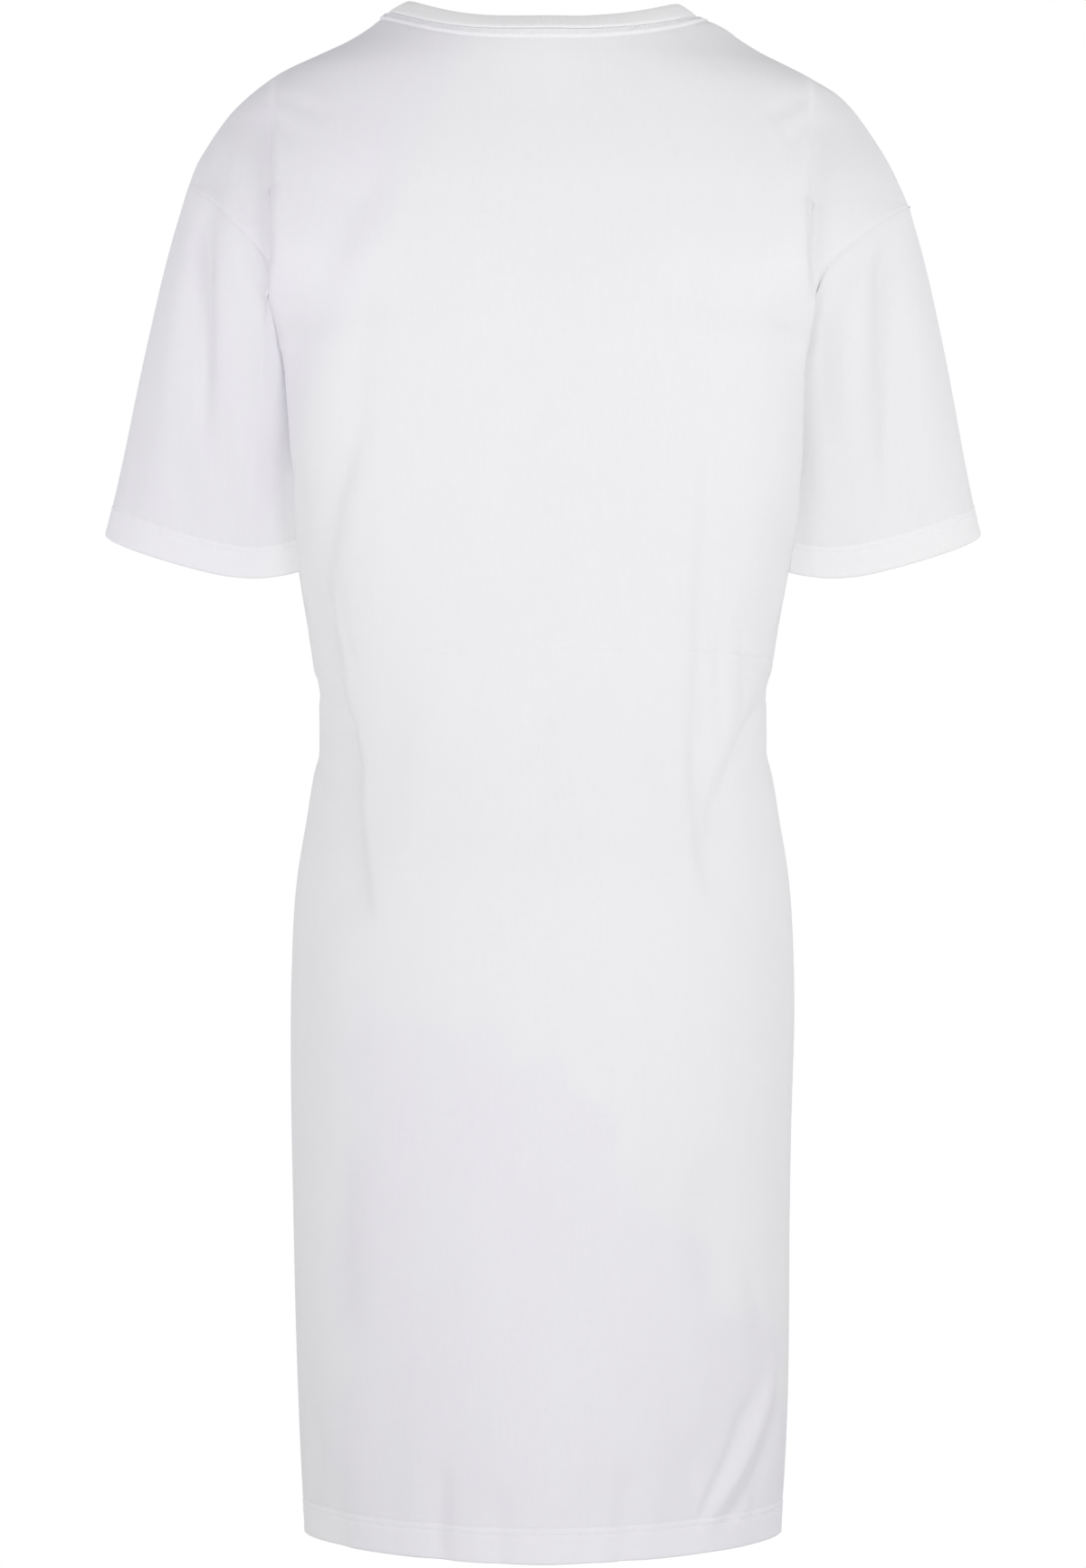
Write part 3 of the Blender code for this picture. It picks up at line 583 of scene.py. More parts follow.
def fold_height(folds, x, z):
    """Sum of soft troughs and ridges: a bell across each bowed line that fades out at its ends."""
    total = np.zeros_like(x)
    for *lengths, skew in folds:
        x0, z0, x1, z1, bow, half_width, height = np.array(lengths) / MILLIMETRES
        along_x = x1 - x0
        along_z = z1 - z0
        length = math.hypot(along_x, along_z)
        t = ((x - x0) * along_x + (z - z0) * along_z) / length**2
        inside = np.clip(t, 0, 1)
        across = ((x - x0) * along_z - (z - z0) * along_x) / length - bow * 4 * inside * (1 - inside)
        ends = smooth_step(t / FOLD_END + 0.5) * smooth_step((1 - t) / FOLD_END + 0.5)
        total += height * bell(across, half_width * (1 + skew * np.sign(across))) * ends
    return total


def ripple(points):
    """Sum of long waves that stand across the dress, so that its cloth isn't ironed flat."""
    across = points[..., 0] + points[..., 1]
    total = np.zeros(points.shape[:-1])
    for waves_across, waves_down, phase, height in RIPPLES:
        total += height * np.sin(across * waves_across + points[..., 2] * waves_down + phase)
    return total


def seam_groove(distance):
    """A seam's groove, and the slight rise of the allowance pressed flat under the cloth beside it."""
    edge = smooth_step((ALLOWANCE - distance) / ALLOWANCE_EDGE + 0.5)
    return ALLOWANCE_RISE * edge - (GROOVE_DEPTH + ALLOWANCE_RISE) * bell(distance, GROOVE_WIDTH)


def grooves(distance, rows):
    """Sum of bells along an edge, each at its distance and with its half width and height."""
    return sum(height * bell(distance - place, width) for place, width, height in rows)


def puckers(around, distance, waves, puckered):
    """Sum of waves along an edge, each with its count, phase and height, under one bell across it."""
    total = sum(height * np.sin(around * count + phase) for count, phase, height in waves)
    return total * bell(distance - puckered[0], puckered[1])


def hem_relief(distance, hem, around):
    """A turned-up hem: two plies, a groove under each row of stitches, and puckers along them."""
    turned = HEM_RISE * smooth_step((hem - distance) / HEM_EDGE + 0.5)
    puckered = puckers(around, distance - hem, HEM_PUCKERS, HEM_PUCKERED)
    return turned + grooves(distance - hem, HEM_GROOVES) + grooves(distance, HEM_ROLL) + puckered


def neck_relief(distance, around):
    """The stitched-down strip under the neckband: a groove at the seam, a raised strip and its edge."""
    raised = NECK_STRIP_RISE * smooth_step((NECK_STRIP - distance) / NECK_STRIP_EDGE + 0.5)
    puckered = puckers(around, distance, NECK_PUCKERS, NECK_PUCKERED)
    return raised + grooves(distance, NECK_GROOVES) + puckered


def rim_inset(distance, ply):
    """How far a wall's face draws in at a folded edge, as a half round as thick as the wall."""
    radius = ply / 2
    reach = np.clip(radius - distance, 0, radius * RIM_ROUND)
    return radius - np.sqrt(radius**2 - reach**2)


def hem_cloth(from_hem, hem):
    """Beside a hem: the cloth's thickness, how far its edge draws in, and how far it is doubled."""
    ply = np.where(from_hem < hem + HEM_PLY_PAST, HEM_PLY, JERSEY)
    doubled = smooth_step((hem + DOUBLED_PAST - from_hem) / DOUBLED_EDGE)
    return ply, rim_inset(from_hem, HEM_PLY), doubled


def row_at(steps, distance):
    """The row whose step lies nearest to a distance from the edge."""
    return int(np.abs(steps - distance).argmin())


def stitched_rows(hem):
    """The rows of a hem's two lines of stitching, counted from its edge."""
    return [row_at(HEM_STEPS, distance) for distance in (hem, hem - NEEDLE_GAP)]


def armhole(hand, turn):
    """Distance from the middle and height on the armhole seam, from 0 at the shoulder end to pi."""
    top_x = section(WIDTH[hand], SHOULDER_END[hand])
    low_x = section(WIDTH[hand], UNDERARM)
    out = swing(top_x, low_x, np.cos(turn)) - ARMHOLE_SCOOP * np.sin(turn) ** 2
    return out, swing(SHOULDER_END[hand], UNDERARM, np.cos(turn))


def armhole_line(side, hand, turn):
    """Points of the armhole seam behind or in front, in distance from the middle, depth and height."""
    out, height = armhole(hand, turn)
    return np.stack([out, depth_at(side, hand, out, height), height], axis=-1)


def even_turns(line_at, first, last):
    """Turns from the first to the last at which the points of a line are evenly spaced."""
    turn = np.linspace(first, last, FINEST_STEPS)
    length = reach_along(line_at(turn))
    return np.interp(np.linspace(0, length[-1], ARMHOLE_ROWS + 1), length, turn)


def even_columns(points):
    """The same rows with columns spaced along each, evenly but for fine steps beside both its ends."""
    middle = points.shape[1] // 2
    halves = []
    for half in (points[:, middle::-1], points[:, middle:]):
        distance = along(half, 1)
        length = distance[:, -1:]
        even = np.linspace(0, 1, HALF_COLUMNS)[None] * (length - SEAM_STEPS[-1])
        where = np.concatenate([even, length - SEAM_STEPS[None, -2::-1]], axis=1)
        halves.append(np.array([read_line(*row) for row in zip(where, distance, half)]))
    return np.concatenate([halves[0][:, :0:-1], halves[1]], axis=1)


def waist_height(side, share):
    """Height of the waist seam, level at its middle and its ends."""
    end = np.where(share < 0, WAIST_SIDE[LEFT], WAIST_SIDE[RIGHT])
    return WAIST_CENTRE[side] + (end - WAIST_CENTRE[side]) * smooth_step(np.abs(share))


def spaced(first, last, start, end, count):
    """Fine steps from the start, an even run, and fine steps to the end, for each column's length.

    start and end hold distances; first and last are the heights between them, one for each column.
    """
    length = np.abs(last - first)
    low = start[:, None] + np.zeros_like(length)[None]
    even = np.linspace(0, 1, count + 2)[1:-1, None]
    middle = start[-1] + (length - start[-1] - end[-1])[None] * even
    high = length[None] - end[::-1, None]
    distance = np.concatenate([low, middle, high])
    return first + (last - first) * distance / length


def torso_points(side, share, rows):
    """Points of level rows on the torso: rows holds a height for each point of each row."""
    angle = np.abs(share)[None, :] * math.pi / 2
    width = np.where(share < 0, -section(WIDTH[LEFT], rows), section(WIDTH[RIGHT], rows))
    power = 2 / section(SQUARENESS, rows)
    x = width * np.sin(angle) ** power
    y = side * section(side, rows) * np.clip(np.cos(angle), 0, 1) ** power
    return np.stack([x, y, rows], axis=-1)


def yoke_half(side, hand, share, end_height, turn, middle, roundness):
    """Half a panel above the underarm, for arrays with a row's values in each of its columns.

    A point's x follows the sine of its share of the turn, its height dips from the row's end to its
    middle, and its y lies on the section at that height.
    """
    power = 2 / section(SQUARENESS, end_height)
    reach = np.sin(np.abs(share) * turn) ** power
    out = section(WIDTH[hand], end_height) * reach
    dip = 1 - (reach / np.sin(turn) ** power) ** roundness
    height = end_height + (middle - end_height) * dip
    return np.stack([hand * out, depth_at(side, hand, out, height), height], axis=-1)


def armhole_part(side, hand, share):
    """Half a panel beside the armhole, from the row above the underarm up to the shoulder end."""
    up = (np.arange(1, ARMHOLE_ROWS + 1) / ARMHOLE_ROWS)[:, None]
    seam = even_turns(lambda turn: armhole_line(side, hand, turn), math.pi, 0.0)[1:, None]
    out, height = armhole(hand, seam + np.zeros_like(share)[None])
    reach = np.minimum(1.0, out / section(WIDTH[hand], height))
    turn = np.arcsin(reach ** (section(SQUARENESS, height) / 2))
    middle = UNDERARM + (LEVEL_AT_SHOULDER_END[side] - UNDERARM) * up
    return yoke_half(side, hand, share, height, turn, middle, ROW_ROUNDNESS)


def shoulder_part(side, hand, share, up):
    """Half a panel from the shoulder end to the neck; up runs from 0 to 1 and may differ by column."""
    fine = np.linspace(SHOULDER_END[hand], NECK_POINT[hand], FINE_STEPS)
    length = reach_along(np.stack([fine, section(WIDTH[hand], fine)], axis=-1))
    end_height = np.interp(up * length[-1], length, fine)
    rise = NECK_CENTRE[side] - LEVEL_AT_SHOULDER_END[side]
    middle = LEVEL_AT_SHOULDER_END[side] + rise * up
    roundness = ROW_ROUNDNESS + (NECK_ROUNDNESS - ROW_ROUNDNESS) * up
    return yoke_half(side, hand, share, end_height, math.pi / 2, middle, roundness)


def shoulder_rows(side, hand, share):
    """Rows of the shoulder part: even ones, then fine ones at fixed distances from the neck seam."""
    near = np.array([1 - NEAR_NECK, 1.0])[:, None] + np.zeros_like(share)[None]
    edge = shoulder_part(side, hand, share, near)
    speed = np.linalg.norm(edge[1] - edge[0], axis=-1) / NEAR_NECK
    top = 1 - NECK_STEPS[::-1, None] / speed[None]
    even = np.linspace(0, 1, SHOULDER_ROWS + 1)[1:-1, None] * top[:1]
    return shoulder_part(side, hand, share, np.concatenate([even, top]))


def body_points(side):
    """A whole back or front before its folds, from the hem up to the neck seam, and its seam rows."""
    share = np.linspace(-1, 1, 2 * FINE_COLUMNS + 1)
    hem = np.full_like(share, HEM_LEVEL)
    waist = waist_height(side, share)
    under = np.full_like(share, UNDERARM)
    skirt = spaced(hem, waist, HEM_STEPS, SEAM_STEPS, SKIRT_ROWS)
    torso = spaced(waist, under, SEAM_STEPS, np.array([0.0]), TORSO_ROWS)
    level = torso_points(side, share, np.concatenate([skirt, torso[1:]]))
    left = share < 0
    halves = []
    for hand, mine in ((LEFT, left), (RIGHT, ~left)):
        halves.append(np.concatenate([
            armhole_part(side, hand, share[mine]), shoulder_rows(side, hand, share[mine]),
        ]))
    underarm = len(level) - 1
    points = even_columns(np.concatenate([level, np.concatenate(halves, axis=1)]))
    seam_rows = {"waist": len(skirt) - 1, "underarm": underarm, "shoulder": underarm + ARMHOLE_ROWS}
    return eased_at_underarm(points, underarm), seam_rows


def eased_at_underarm(points, row):
    """Draws the rows near the underarm's level into one smooth surface, but for the panel's two ends.

    Each point's depth and height become their running mean over the rows above and below, by a share that
    is whole beside that row and fades away from it and towards the ends.
    """
    across = along(points, 1)
    ends = np.minimum(across, across[:, -1:] - across)
    eased = points.copy()
    for _ in range(EASE_ROUNDS):
        mean = eased.copy()
        mean[1:-1] = (eased[:-2] + 2 * eased[1:-1] + eased[2:]) / 4
        rows_away = np.abs(np.arange(len(points)) - row)[:, None]
        share = bell(rows_away, EASE_ROWS) * smooth_step(ends / EASE_FROM_END)
        eased = eased + (mean - eased) * share[..., None]
    return eased


def folded_body(side, points):
    """The back or front with its folds and ripples, moved along its normals."""
    normal = body_normals(side, points)
    facing = smooth_step(np.abs(normal[..., 1]) / FACING_FULL)
    lift = fold_height(BODY_FOLDS[side], points[..., 0], points[..., 2]) * facing
    below = smooth_step((UNDERARM - points[..., 2]) / SIDE_FOLDS_BLEND)
    for hand in (LEFT, RIGHT):
        outward = smooth_step((hand * normal[..., 0] - SIDEWAYS_FROM) / SIDEWAYS_BLEND)
        lift += fold_height(SIDE_FOLDS[hand], points[..., 1], points[..., 2]) * outward * below
    folded = points + normal * (lift + ripple(points))[..., None]
    if side == BACK:
        height = points[..., 2]
        past = points[..., 1] - through(CREST, 1, height)
        out = bell(past, CREST_WIDTH) * through(CREST, 2, height)
        back_in = bell(past - RECESS_BEHIND, RECESS_WIDTH) * through(CREST, 3, height)
        folded[..., 0] += np.sign(points[..., 0]) * (out - back_in)
    return folded


def cuff(turn):
    """Distance from the middle, depth and height round the sleeve hem, flatter towards the torso."""
    cosine = np.cos(turn)
    sine = np.sin(turn)
    deep = np.sign(sine) * np.abs(sine) ** (1 - CUFF_FLATNESS * (1 - cosine) / 2)
    out = swing(CUFF_OUTER[0], CUFF_INNER[0], cosine)
    height = swing(CUFF_OUTER[1], CUFF_INNER[1], cosine)
    depth = np.where(sine > 0, CUFF_DEPTH[BACK], CUFF_DEPTH[FRONT])
    drop = CUFF_DROP * sine * (1 - CUFF_SKEW * cosine)
    lift = CUFF_LIFT * np.minimum(cosine, 0) ** 2
    return np.stack([out, CUFF_FORWARD - depth * deep, height - drop + lift], axis=-1)


def torso_reach(hand, body, rows, points):
    """How far the folded torso reaches from the middle at the depth and height of each point.

    It is read across the depth on every row from the waist to the underarm, then between the two rows.
    """
    levels = slice(rows["waist"], rows["underarm"] + 1)
    middle = body[BACK].shape[1] // 2
    outward = slice(middle, None) if hand == RIGHT else slice(middle, None, -1)
    behind = body[BACK][levels, outward]
    in_front = body[FRONT][levels, outward][:, -2::-1]
    line = np.concatenate([behind, in_front], axis=1)
    depth = np.maximum.accumulate(line[..., 1], axis=1)
    at = points[..., 1].ravel()
    reach = np.array([np.interp(at, row, out) for row, out in zip(depth, hand * line[..., 0])])
    level = line[:, len(behind[0]), 2]
    place = np.interp(points[..., 2].ravel(), level, np.arange(len(level)))
    below = np.minimum(place.astype(int), len(level) - 2)
    index = np.arange(len(at))
    between = reach[below, index] + (reach[below + 1, index] - reach[below, index]) * (place - below)
    return between.reshape(points.shape[:-1])


def hold_off_body(points, torso, down):
    """Keeps a sleeve's inner side clear of the torso, by a smooth maximum of the two distances."""
    limit = torso + CLEAR_AT_UNDERARM + (CLEAR_AT_CUFF - CLEAR_AT_UNDERARM) * down
    held = points.copy()
    held[..., 0] = limit + above_zero(points[..., 0] - limit, CLEAR_BLEND)
    return held


def sleeve_points(hand, seam, body, rows):
    """Rings of a sleeve from armhole seam to hem, in distance from the middle, depth and height.

    Each line down the sleeve runs from the seam to the cuff loop, rounded outwards by t (1 - t) squared.
    Its folds are laid on. Then the cloth behind the body's crest is held to a sloping face by a smooth
    minimum, tucked in beside the crest, smoothed by a running mean round the ring and kept off the torso.
    """
    behind = even_turns(cuff, 0.0, math.pi)
    in_front = even_turns(cuff, math.pi, 2 * math.pi)
    turn = np.concatenate([behind, in_front[1:-1]])
    is_behind = np.sin(turn) > 0
    end = cuff(turn)
    length = np.linalg.norm(end - seam, axis=-1)
    down = spaced(np.zeros_like(length), length, SEAM_STEPS, HEM_STEPS, SLEEVE_ROWS) / length
    points = seam[None] * (1 - down[..., None]) + end[None] * down[..., None]
    rounding = down * (1 - down) ** 2 / (ROUNDEST * (1 - ROUNDEST) ** 2)
    fullness = np.where(is_behind, SLEEVE_FULLNESS[BACK], SLEEVE_FULLNESS[FRONT])
    points[..., 0] += rounding * SLEEVE_CROWN * np.cos(turn)
    points[..., 1] -= rounding * fullness * np.sin(turn) * (1 + np.cos(turn)) * FULL_OVER_ARM
    normal = grid_normals(points, True)
    from_seam = smooth_step(down / SLEEVE_FOLDS_BLEND)
    lift = ripple(points) * from_seam
    for side in (BACK, FRONT):
        facing = smooth_step(side * normal[..., 1] / SLEEVE_FACING_FULL) * from_seam
        lift += fold_height(SLEEVE_FOLDS[hand][side], points[..., 0], points[..., 2]) * facing
    points = points + normal * lift[..., None]

    eased = smooth_step(down * length / FACE_EASE)
    crest = through(CREST, 1, points[..., 2])
    gap = points[..., 0] - torso_reach(hand, body, rows, points)
    over = points[..., 1] - (crest + FACE_BEHIND + gap * (FACE_SLOPE + FACE_CURVE * np.abs(gap)))
    outside = smooth_step(gap / FACE_EDGE + 0.5) * eased * is_behind
    points[..., 1] -= above_zero(over, FACE_BLEND) * outside

    torso = torso_reach(hand, body, rows, points)
    near_crest = bell(points[..., 1] - crest - TUCK_BEHIND, TUCK_WIDTH)
    points[..., 0] -= TUCK_DEPTH * near_crest * bell(points[..., 0] - torso, TUCK_REACH) * eased
    gap = points[..., 0] - torso
    loose = smooth_step(gap / SMOOTH_FROM) * smooth_step((SMOOTH_PAST - gap) / SMOOTH_FADE)
    loose = (loose * is_behind * eased)[..., None]
    for _ in range(SMOOTH_ROUNDS):
        mean = (np.roll(points, 1, axis=1) + 2 * points + np.roll(points, -1, axis=1)) / 4
        points = points + (mean - points) * loose
    held = hold_off_body(points, torso, down)
    return points + (held - points) * eased[..., None]


def add_object(name, data):
    """A new object in the scene, with its mesh, lamp or lens."""
    made = bpy.data.objects.new(name, data)
    bpy.context.collection.objects.link(made)
    return made


def link(name, points, faces, material, uv=None, doubled=None):
    """A smooth mesh object in one material, with a map of its cloth and a value where it is doubled."""
    mesh = bpy.data.meshes.new(name)
    mesh.from_pydata(points.reshape(-1, 3).tolist(), [], faces)
    if uv is not None:
        layer = mesh.uv_layers.new(name="cloth")
        corner = np.zeros(len(mesh.loops), np.int32)
        mesh.loops.foreach_get("vertex_index", corner)
        layer.data.foreach_set("uv", uv.reshape(-1, 2)[corner].astype(np.float32).ravel())
    if doubled is not None:
        values = mesh.attributes.new("doubled", "FLOAT", "POINT").data
        values.foreach_set("value", doubled.astype(np.float32))
    mesh.shade_smooth()
    mesh.set_sharp_from_angle(angle=SHARP_FROM)
    mesh.materials.append(material)
    return add_object(name, mesh)


def quads(a, b, c, d):
    """Faces of four corners, from four arrays of point numbers."""
    return np.stack([a, b, c, d], axis=-1).reshape(-1, 4)


def grid_faces(index):
    """A face between every two rows and columns of a grid of point numbers."""
    return quads(index[:-1, :-1], index[:-1, 1:], index[1:, 1:], index[1:, :-1])


def wall(name, grids, closed, flipped, material):
    """A closed shell between an outer and an inner grid of points, with the rims round them.

    The grids are the two of points, the map of the cloth and where it is doubled. Flipped ones are read
    from their last column to their first.
    """
    outer, inner, uv, doubled = [grid[:, ::-1] for grid in grids] if flipped else grids
    rows, columns = outer.shape[:2]
    index = np.arange(rows * columns).reshape(rows, columns)
    if closed:
        index = np.concatenate([index, index[:, :1]], axis=1)
    under = index + rows * columns
    faces = [
        grid_faces(index),
        quads(under[:-1, :-1], under[1:, :-1], under[1:, 1:], under[:-1, 1:]),
        quads(index[0, :-1], under[0, :-1], under[0, 1:], index[0, 1:]),
        quads(index[-1, :-1], index[-1, 1:], under[-1, 1:], under[-1, :-1]),
    ]
    if not closed:
        faces.append(quads(index[:-1, 0], index[1:, 0], under[1:, 0], under[:-1, 0]))
        faces.append(quads(index[:-1, -1], under[:-1, -1], under[1:, -1], index[1:, -1]))
    both = np.concatenate([outer, inner])
    twice = np.tile(doubled.ravel(), 2)
    return link(name, both, np.concatenate(faces).tolist(), material, np.concatenate([uv, uv]), twice)


def stitches(name, runs, material):
    """Rows of stitches: a small capsule every stitch, laid along each run on the cloth.

    A run is a closed line of points with the cloth's normals. The capsule's rings follow a half round at
    both ends, and each stitch lies a little across the line.
    """
    ring_at = np.cos(np.linspace(math.pi, 0, STITCH_RINGS))
    ring_size = np.sqrt(1 - STITCH_TAPER * ring_at**2) * STITCH_RADIUS
    ring_height = (STITCH_STANDS - STITCH_DIPS * ring_at**2) * STITCH_RADIUS
    round_at = np.arange(STITCH_SIDES) * 2 * math.pi / STITCH_SIDES
    points = []
    for line, normal in runs:
        closed = np.concatenate([line, line[:1]])
        distance = reach_along(closed)
        count = int(distance[-1] / STITCH_PITCH)
        centre_at = (np.arange(count) + 0.5) * distance[-1] / count
        behind, centre, ahead = (
            read_line(centre_at + step * STITCH_LENGTH / 2, distance, closed) for step in (-1, 0, 1)
        )
        up = unit(read_line(centre_at, distance, np.concatenate([normal, normal[:1]])))
        forward = unit(ahead - behind)
        sideways = unit(np.cross(up, forward))
        lean = STITCH_LEAN * np.sin(np.arange(count) * STITCH_LEAN_TURN)[:, None]
        forward = unit(forward + sideways * lean)
        spine = centre[:, None] + forward[:, None] * (ring_at * STITCH_LENGTH / 2)[None, :, None]
        spine = spine + up[:, None] * ring_height[None, :, None]
        circle = (
            sideways[:, None, None] * np.cos(round_at)[None, None, :, None]
            + up[:, None, None] * np.sin(round_at)[None, None, :, None]
        )
        points.append((spine[:, :, None] + circle * ring_size[None, :, None, None]).reshape(-1, 3))
    points = np.concatenate(points)
    block = STITCH_RINGS * STITCH_SIDES
    index = np.arange(block).reshape(STITCH_RINGS, STITCH_SIDES)
    turned = np.roll(index, -1, axis=1)
    sides = quads(index[:-1], index[1:], turned[1:], turned[:-1])
    offset = np.arange(len(points) // block)[:, None, None] * block
    faces = (sides[None] + offset).reshape(-1, 4).tolist()
    first = (index[0][None] + offset[:, 0]).tolist()
    last = (index[-1][None, ::-1] + offset[:, 0]).tolist()
    return link(name, points, faces + first + last, material)


def band_direction(loop):
    """Direction up the neckband at each point of the neck seam: upright, leaning in towards the neck."""
    inward = unit(np.stack([-loop[:, 0], NECK_AXIS_Y - loop[:, 1], np.zeros(len(loop))], axis=-1))
    facing = -inward[:, 1]
    at_side = np.where(loop[:, 0] < 0, BAND_SIDE_LEAN[LEFT], BAND_SIDE_LEAN[RIGHT])
    at_middle = np.where(facing > 0, BAND_LEAN[FRONT], BAND_LEAN[BACK])
    lean = (at_side + (at_middle - at_side) * np.abs(facing))[:, None]
    return inward * np.sin(lean) + np.array([0, 0, 1]) * np.cos(lean)


def resampled(loop, count):
    """A closed line of points drawn again with evenly spaced ones, eased by short running means."""
    closed = np.concatenate([loop, loop[:1]])
    distance = reach_along(closed)
    line = read_line(np.arange(count) * distance[-1] / count, distance, closed)
    for shift in BAND_EASING:
        line = (np.roll(line, shift, axis=0) + line + np.roll(line, -shift, axis=0)) / 3
    return line, distance[-1]


def neckband(loop, material):
    """Closed ring of folded rib: up its outer face, round the fold and down its inner face.

    The face swells between the seam and the fold, and each rib is a rounded ridge across the band.
    """
    ribs = int(reach_along(loop)[-1] / RIB_PITCH)
    line, length = resampled(loop, ribs * STEPS_A_RIB)
    direction = band_direction(line)
    tangent = unit(np.roll(line, -1, axis=0) - np.roll(line, 1, axis=0))
    outward = unit(np.cross(tangent, direction))
    flat = BAND_WIDTH - RIB_PLY / 2
    climb = BAND_CLIMB * flat
    fold = np.linspace(0, math.pi, BAND_FOLD_STEPS + 2)[1:-1]
    straight = np.ones(len(climb))
    faces_out = np.concatenate([straight, np.cos(fold), -straight])
    faces_up = np.concatenate([0 * straight, np.sin(fold), 0 * straight])
    up = np.concatenate([climb, flat + RIB_PLY / 2 * np.sin(fold), climb[::-1]])
    swell = BAND_SWELL * np.sin(np.clip(up / flat, 0, 1) * math.pi) ** BAND_SWELL_POWER
    tuck = BAND_TUCK * bell(up, BAND_TUCK_REACH) * (faces_out > 0)
    out = (faces_out - 1) * RIB_PLY / 2 + np.sign(faces_out) * swell - tuck
    around = np.arange(len(line)) * 2 * math.pi / STEPS_A_RIB
    rib_height = RIB_RISE * (1 - np.abs(np.sin(around / 2)) ** RIB_POWER)[None]
    rib_height = rib_height * smooth_step(up / RIBS_FADE_IN)[:, None]
    points = (
        line[None]
        + direction[None] * (up[:, None] + rib_height * faces_up[:, None])[..., None]
        + outward[None] * (out[:, None] + rib_height * faces_out[:, None])[..., None]
    )
    u = np.arange(len(line)) * length / len(line)
    v = reach_along(np.stack([up, out], axis=-1))
    rows, columns = points.shape[:2]
    index = np.pad(np.arange(rows * columns).reshape(rows, columns), ((0, 1), (0, 1)), "wrap")
    uv = np.stack(np.meshgrid(u, v), axis=-1)
    return link("neckband_rib", points, grid_faces(index).tolist(), material, uv)


class Socket:
    """A node's output whose sums and products add Math nodes."""

    def __init__(self, nodes, output):
        self.nodes = nodes
        self.output = output

    def math(self, operation, first, second=None):
        return self.nodes.node("ShaderNodeMath", {"operation": operation}, {0: first, 1: second})

    def __add__(self, other):
        return self.math("ADD", self, other)

    def __sub__(self, other):
        return self.math("SUBTRACT", self, other)

    def __mul__(self, other):
        return self.math("MULTIPLY", self, other)

    __radd__ = __add__

    def sine(self):
        return self.math("SINE", self)

    def size(self):
        return self.math("ABSOLUTE", self)

    def fraction(self):
        return self.math("FRACT", self)


class Nodes:
    """A tree whose nodes come from one method: their type, their settings, then their inputs."""

    def __init__(self, tree):
        self.tree = tree

    def node(self, kind, settings=None, inputs=None, output=0):
        made = self.tree.nodes.new(kind)
        for key, value in (settings or {}).items():
            setattr(made, key, value)
        for key, value in (inputs or {}).items():
            if value is not None:
                self.feed(made.inputs[key], value)
        return Socket(self, made.outputs[output])

    def feed(self, socket, value):
        if isinstance(value, Socket):
            self.tree.links.new(value.output, socket)
        else:
            socket.default_value = value

    def place(self, space):
        """The place of each point, in a space such as Object."""
        return self.node("ShaderNodeTexCoord", None, None, space)

    def parts(self, vector):
        """The x, y and z of a vector."""
        split = self.node("ShaderNodeSeparateXYZ", None, {0: vector}).output.node
        return [Socket(self, output) for output in split.outputs]

    def fade(self, value, start, end, low=0.0, high=1.0):
        """The low value before the start, the high one past the end, with level ends between."""
        inputs = {"Value": value, "From Min": start, "From Max": end, "To Min": low, "To Max": high}
        return self.node("ShaderNodeMapRange", {"interpolation_type": "SMOOTHSTEP"}, inputs)

    def noise(self, spot, scale, detail, dimensions="3D"):
        """Soft noise, with a number of cycles a metre."""
        inputs = {"Vector": spot, "Scale": scale, "Detail": detail}
        return self.node("ShaderNodeTexNoise", {"noise_dimensions": dimensions}, inputs)

    def blend(self, factor, colour, other, kind="MIX"):
        """A colour drawn towards another, or multiplied by it, by a factor."""
        # a mix node's inputs 6 and 7 and its output 2 are the ones for colours
        settings = {"data_type": "RGBA", "blend_type": kind}
        return self.node("ShaderNodeMix", settings, {0: factor, 6: colour, 7: other}, 2)


class Finish(Nodes):
    """A rough material with a colour and a fine bump."""

    def __init__(self, name, roughness, shine=SHINE):
        self.material = bpy.data.materials.new(name)
        self.material.use_nodes = True
        super().__init__(self.material.node_tree)
        self.shader = self.tree.nodes["Principled BSDF"]
        self.shader.inputs["Roughness"].default_value = roughness
        self.shader.inputs["Specular IOR Level"].default_value = shine

    def cloth_map(self):
        """The distances across and down the piece of cloth, in metres: together, and each by itself."""
        spot = self.node("ShaderNodeUVMap", {"uv_map": "cloth"})
        return [spot, *self.parts(spot)[:2]]

    def streaks(self, spot, scale, detail):
        """Soft noise in the cloth's own map, stretched by a scale across and one down."""
        stretched = self.node("ShaderNodeMapping", None, {"Vector": spot, "Scale": (*scale, 1)})
        return self.noise(stretched, 1.0, detail, "2D")

    def bump(self, height, strength, distance):
        inputs = {"Strength": strength, "Distance": distance, "Height": height}
        self.feed(self.shader.inputs["Normal"], self.node("ShaderNodeBump", None, inputs))

    def coloured(self, colour):
        """The finished material, in a colour."""
        self.feed(self.shader.inputs["Base Color"], colour)
        return self.material


def mixed(parts, shares):
    """Sum of sockets, each by its share."""
    return sum(part * share for part, share in zip(parts, shares))


def knit_loops(across, down, pitch, slant):
    """Rows of small v loops: waves down the cloth that slant to both sides of each pitch's middle."""
    from_middle = ((across * (1 / pitch)).fraction() - 0.5).size()
    return ((down * (1 / COURSE_PITCH) + from_middle * slant) * (2 * math.pi)).sine()


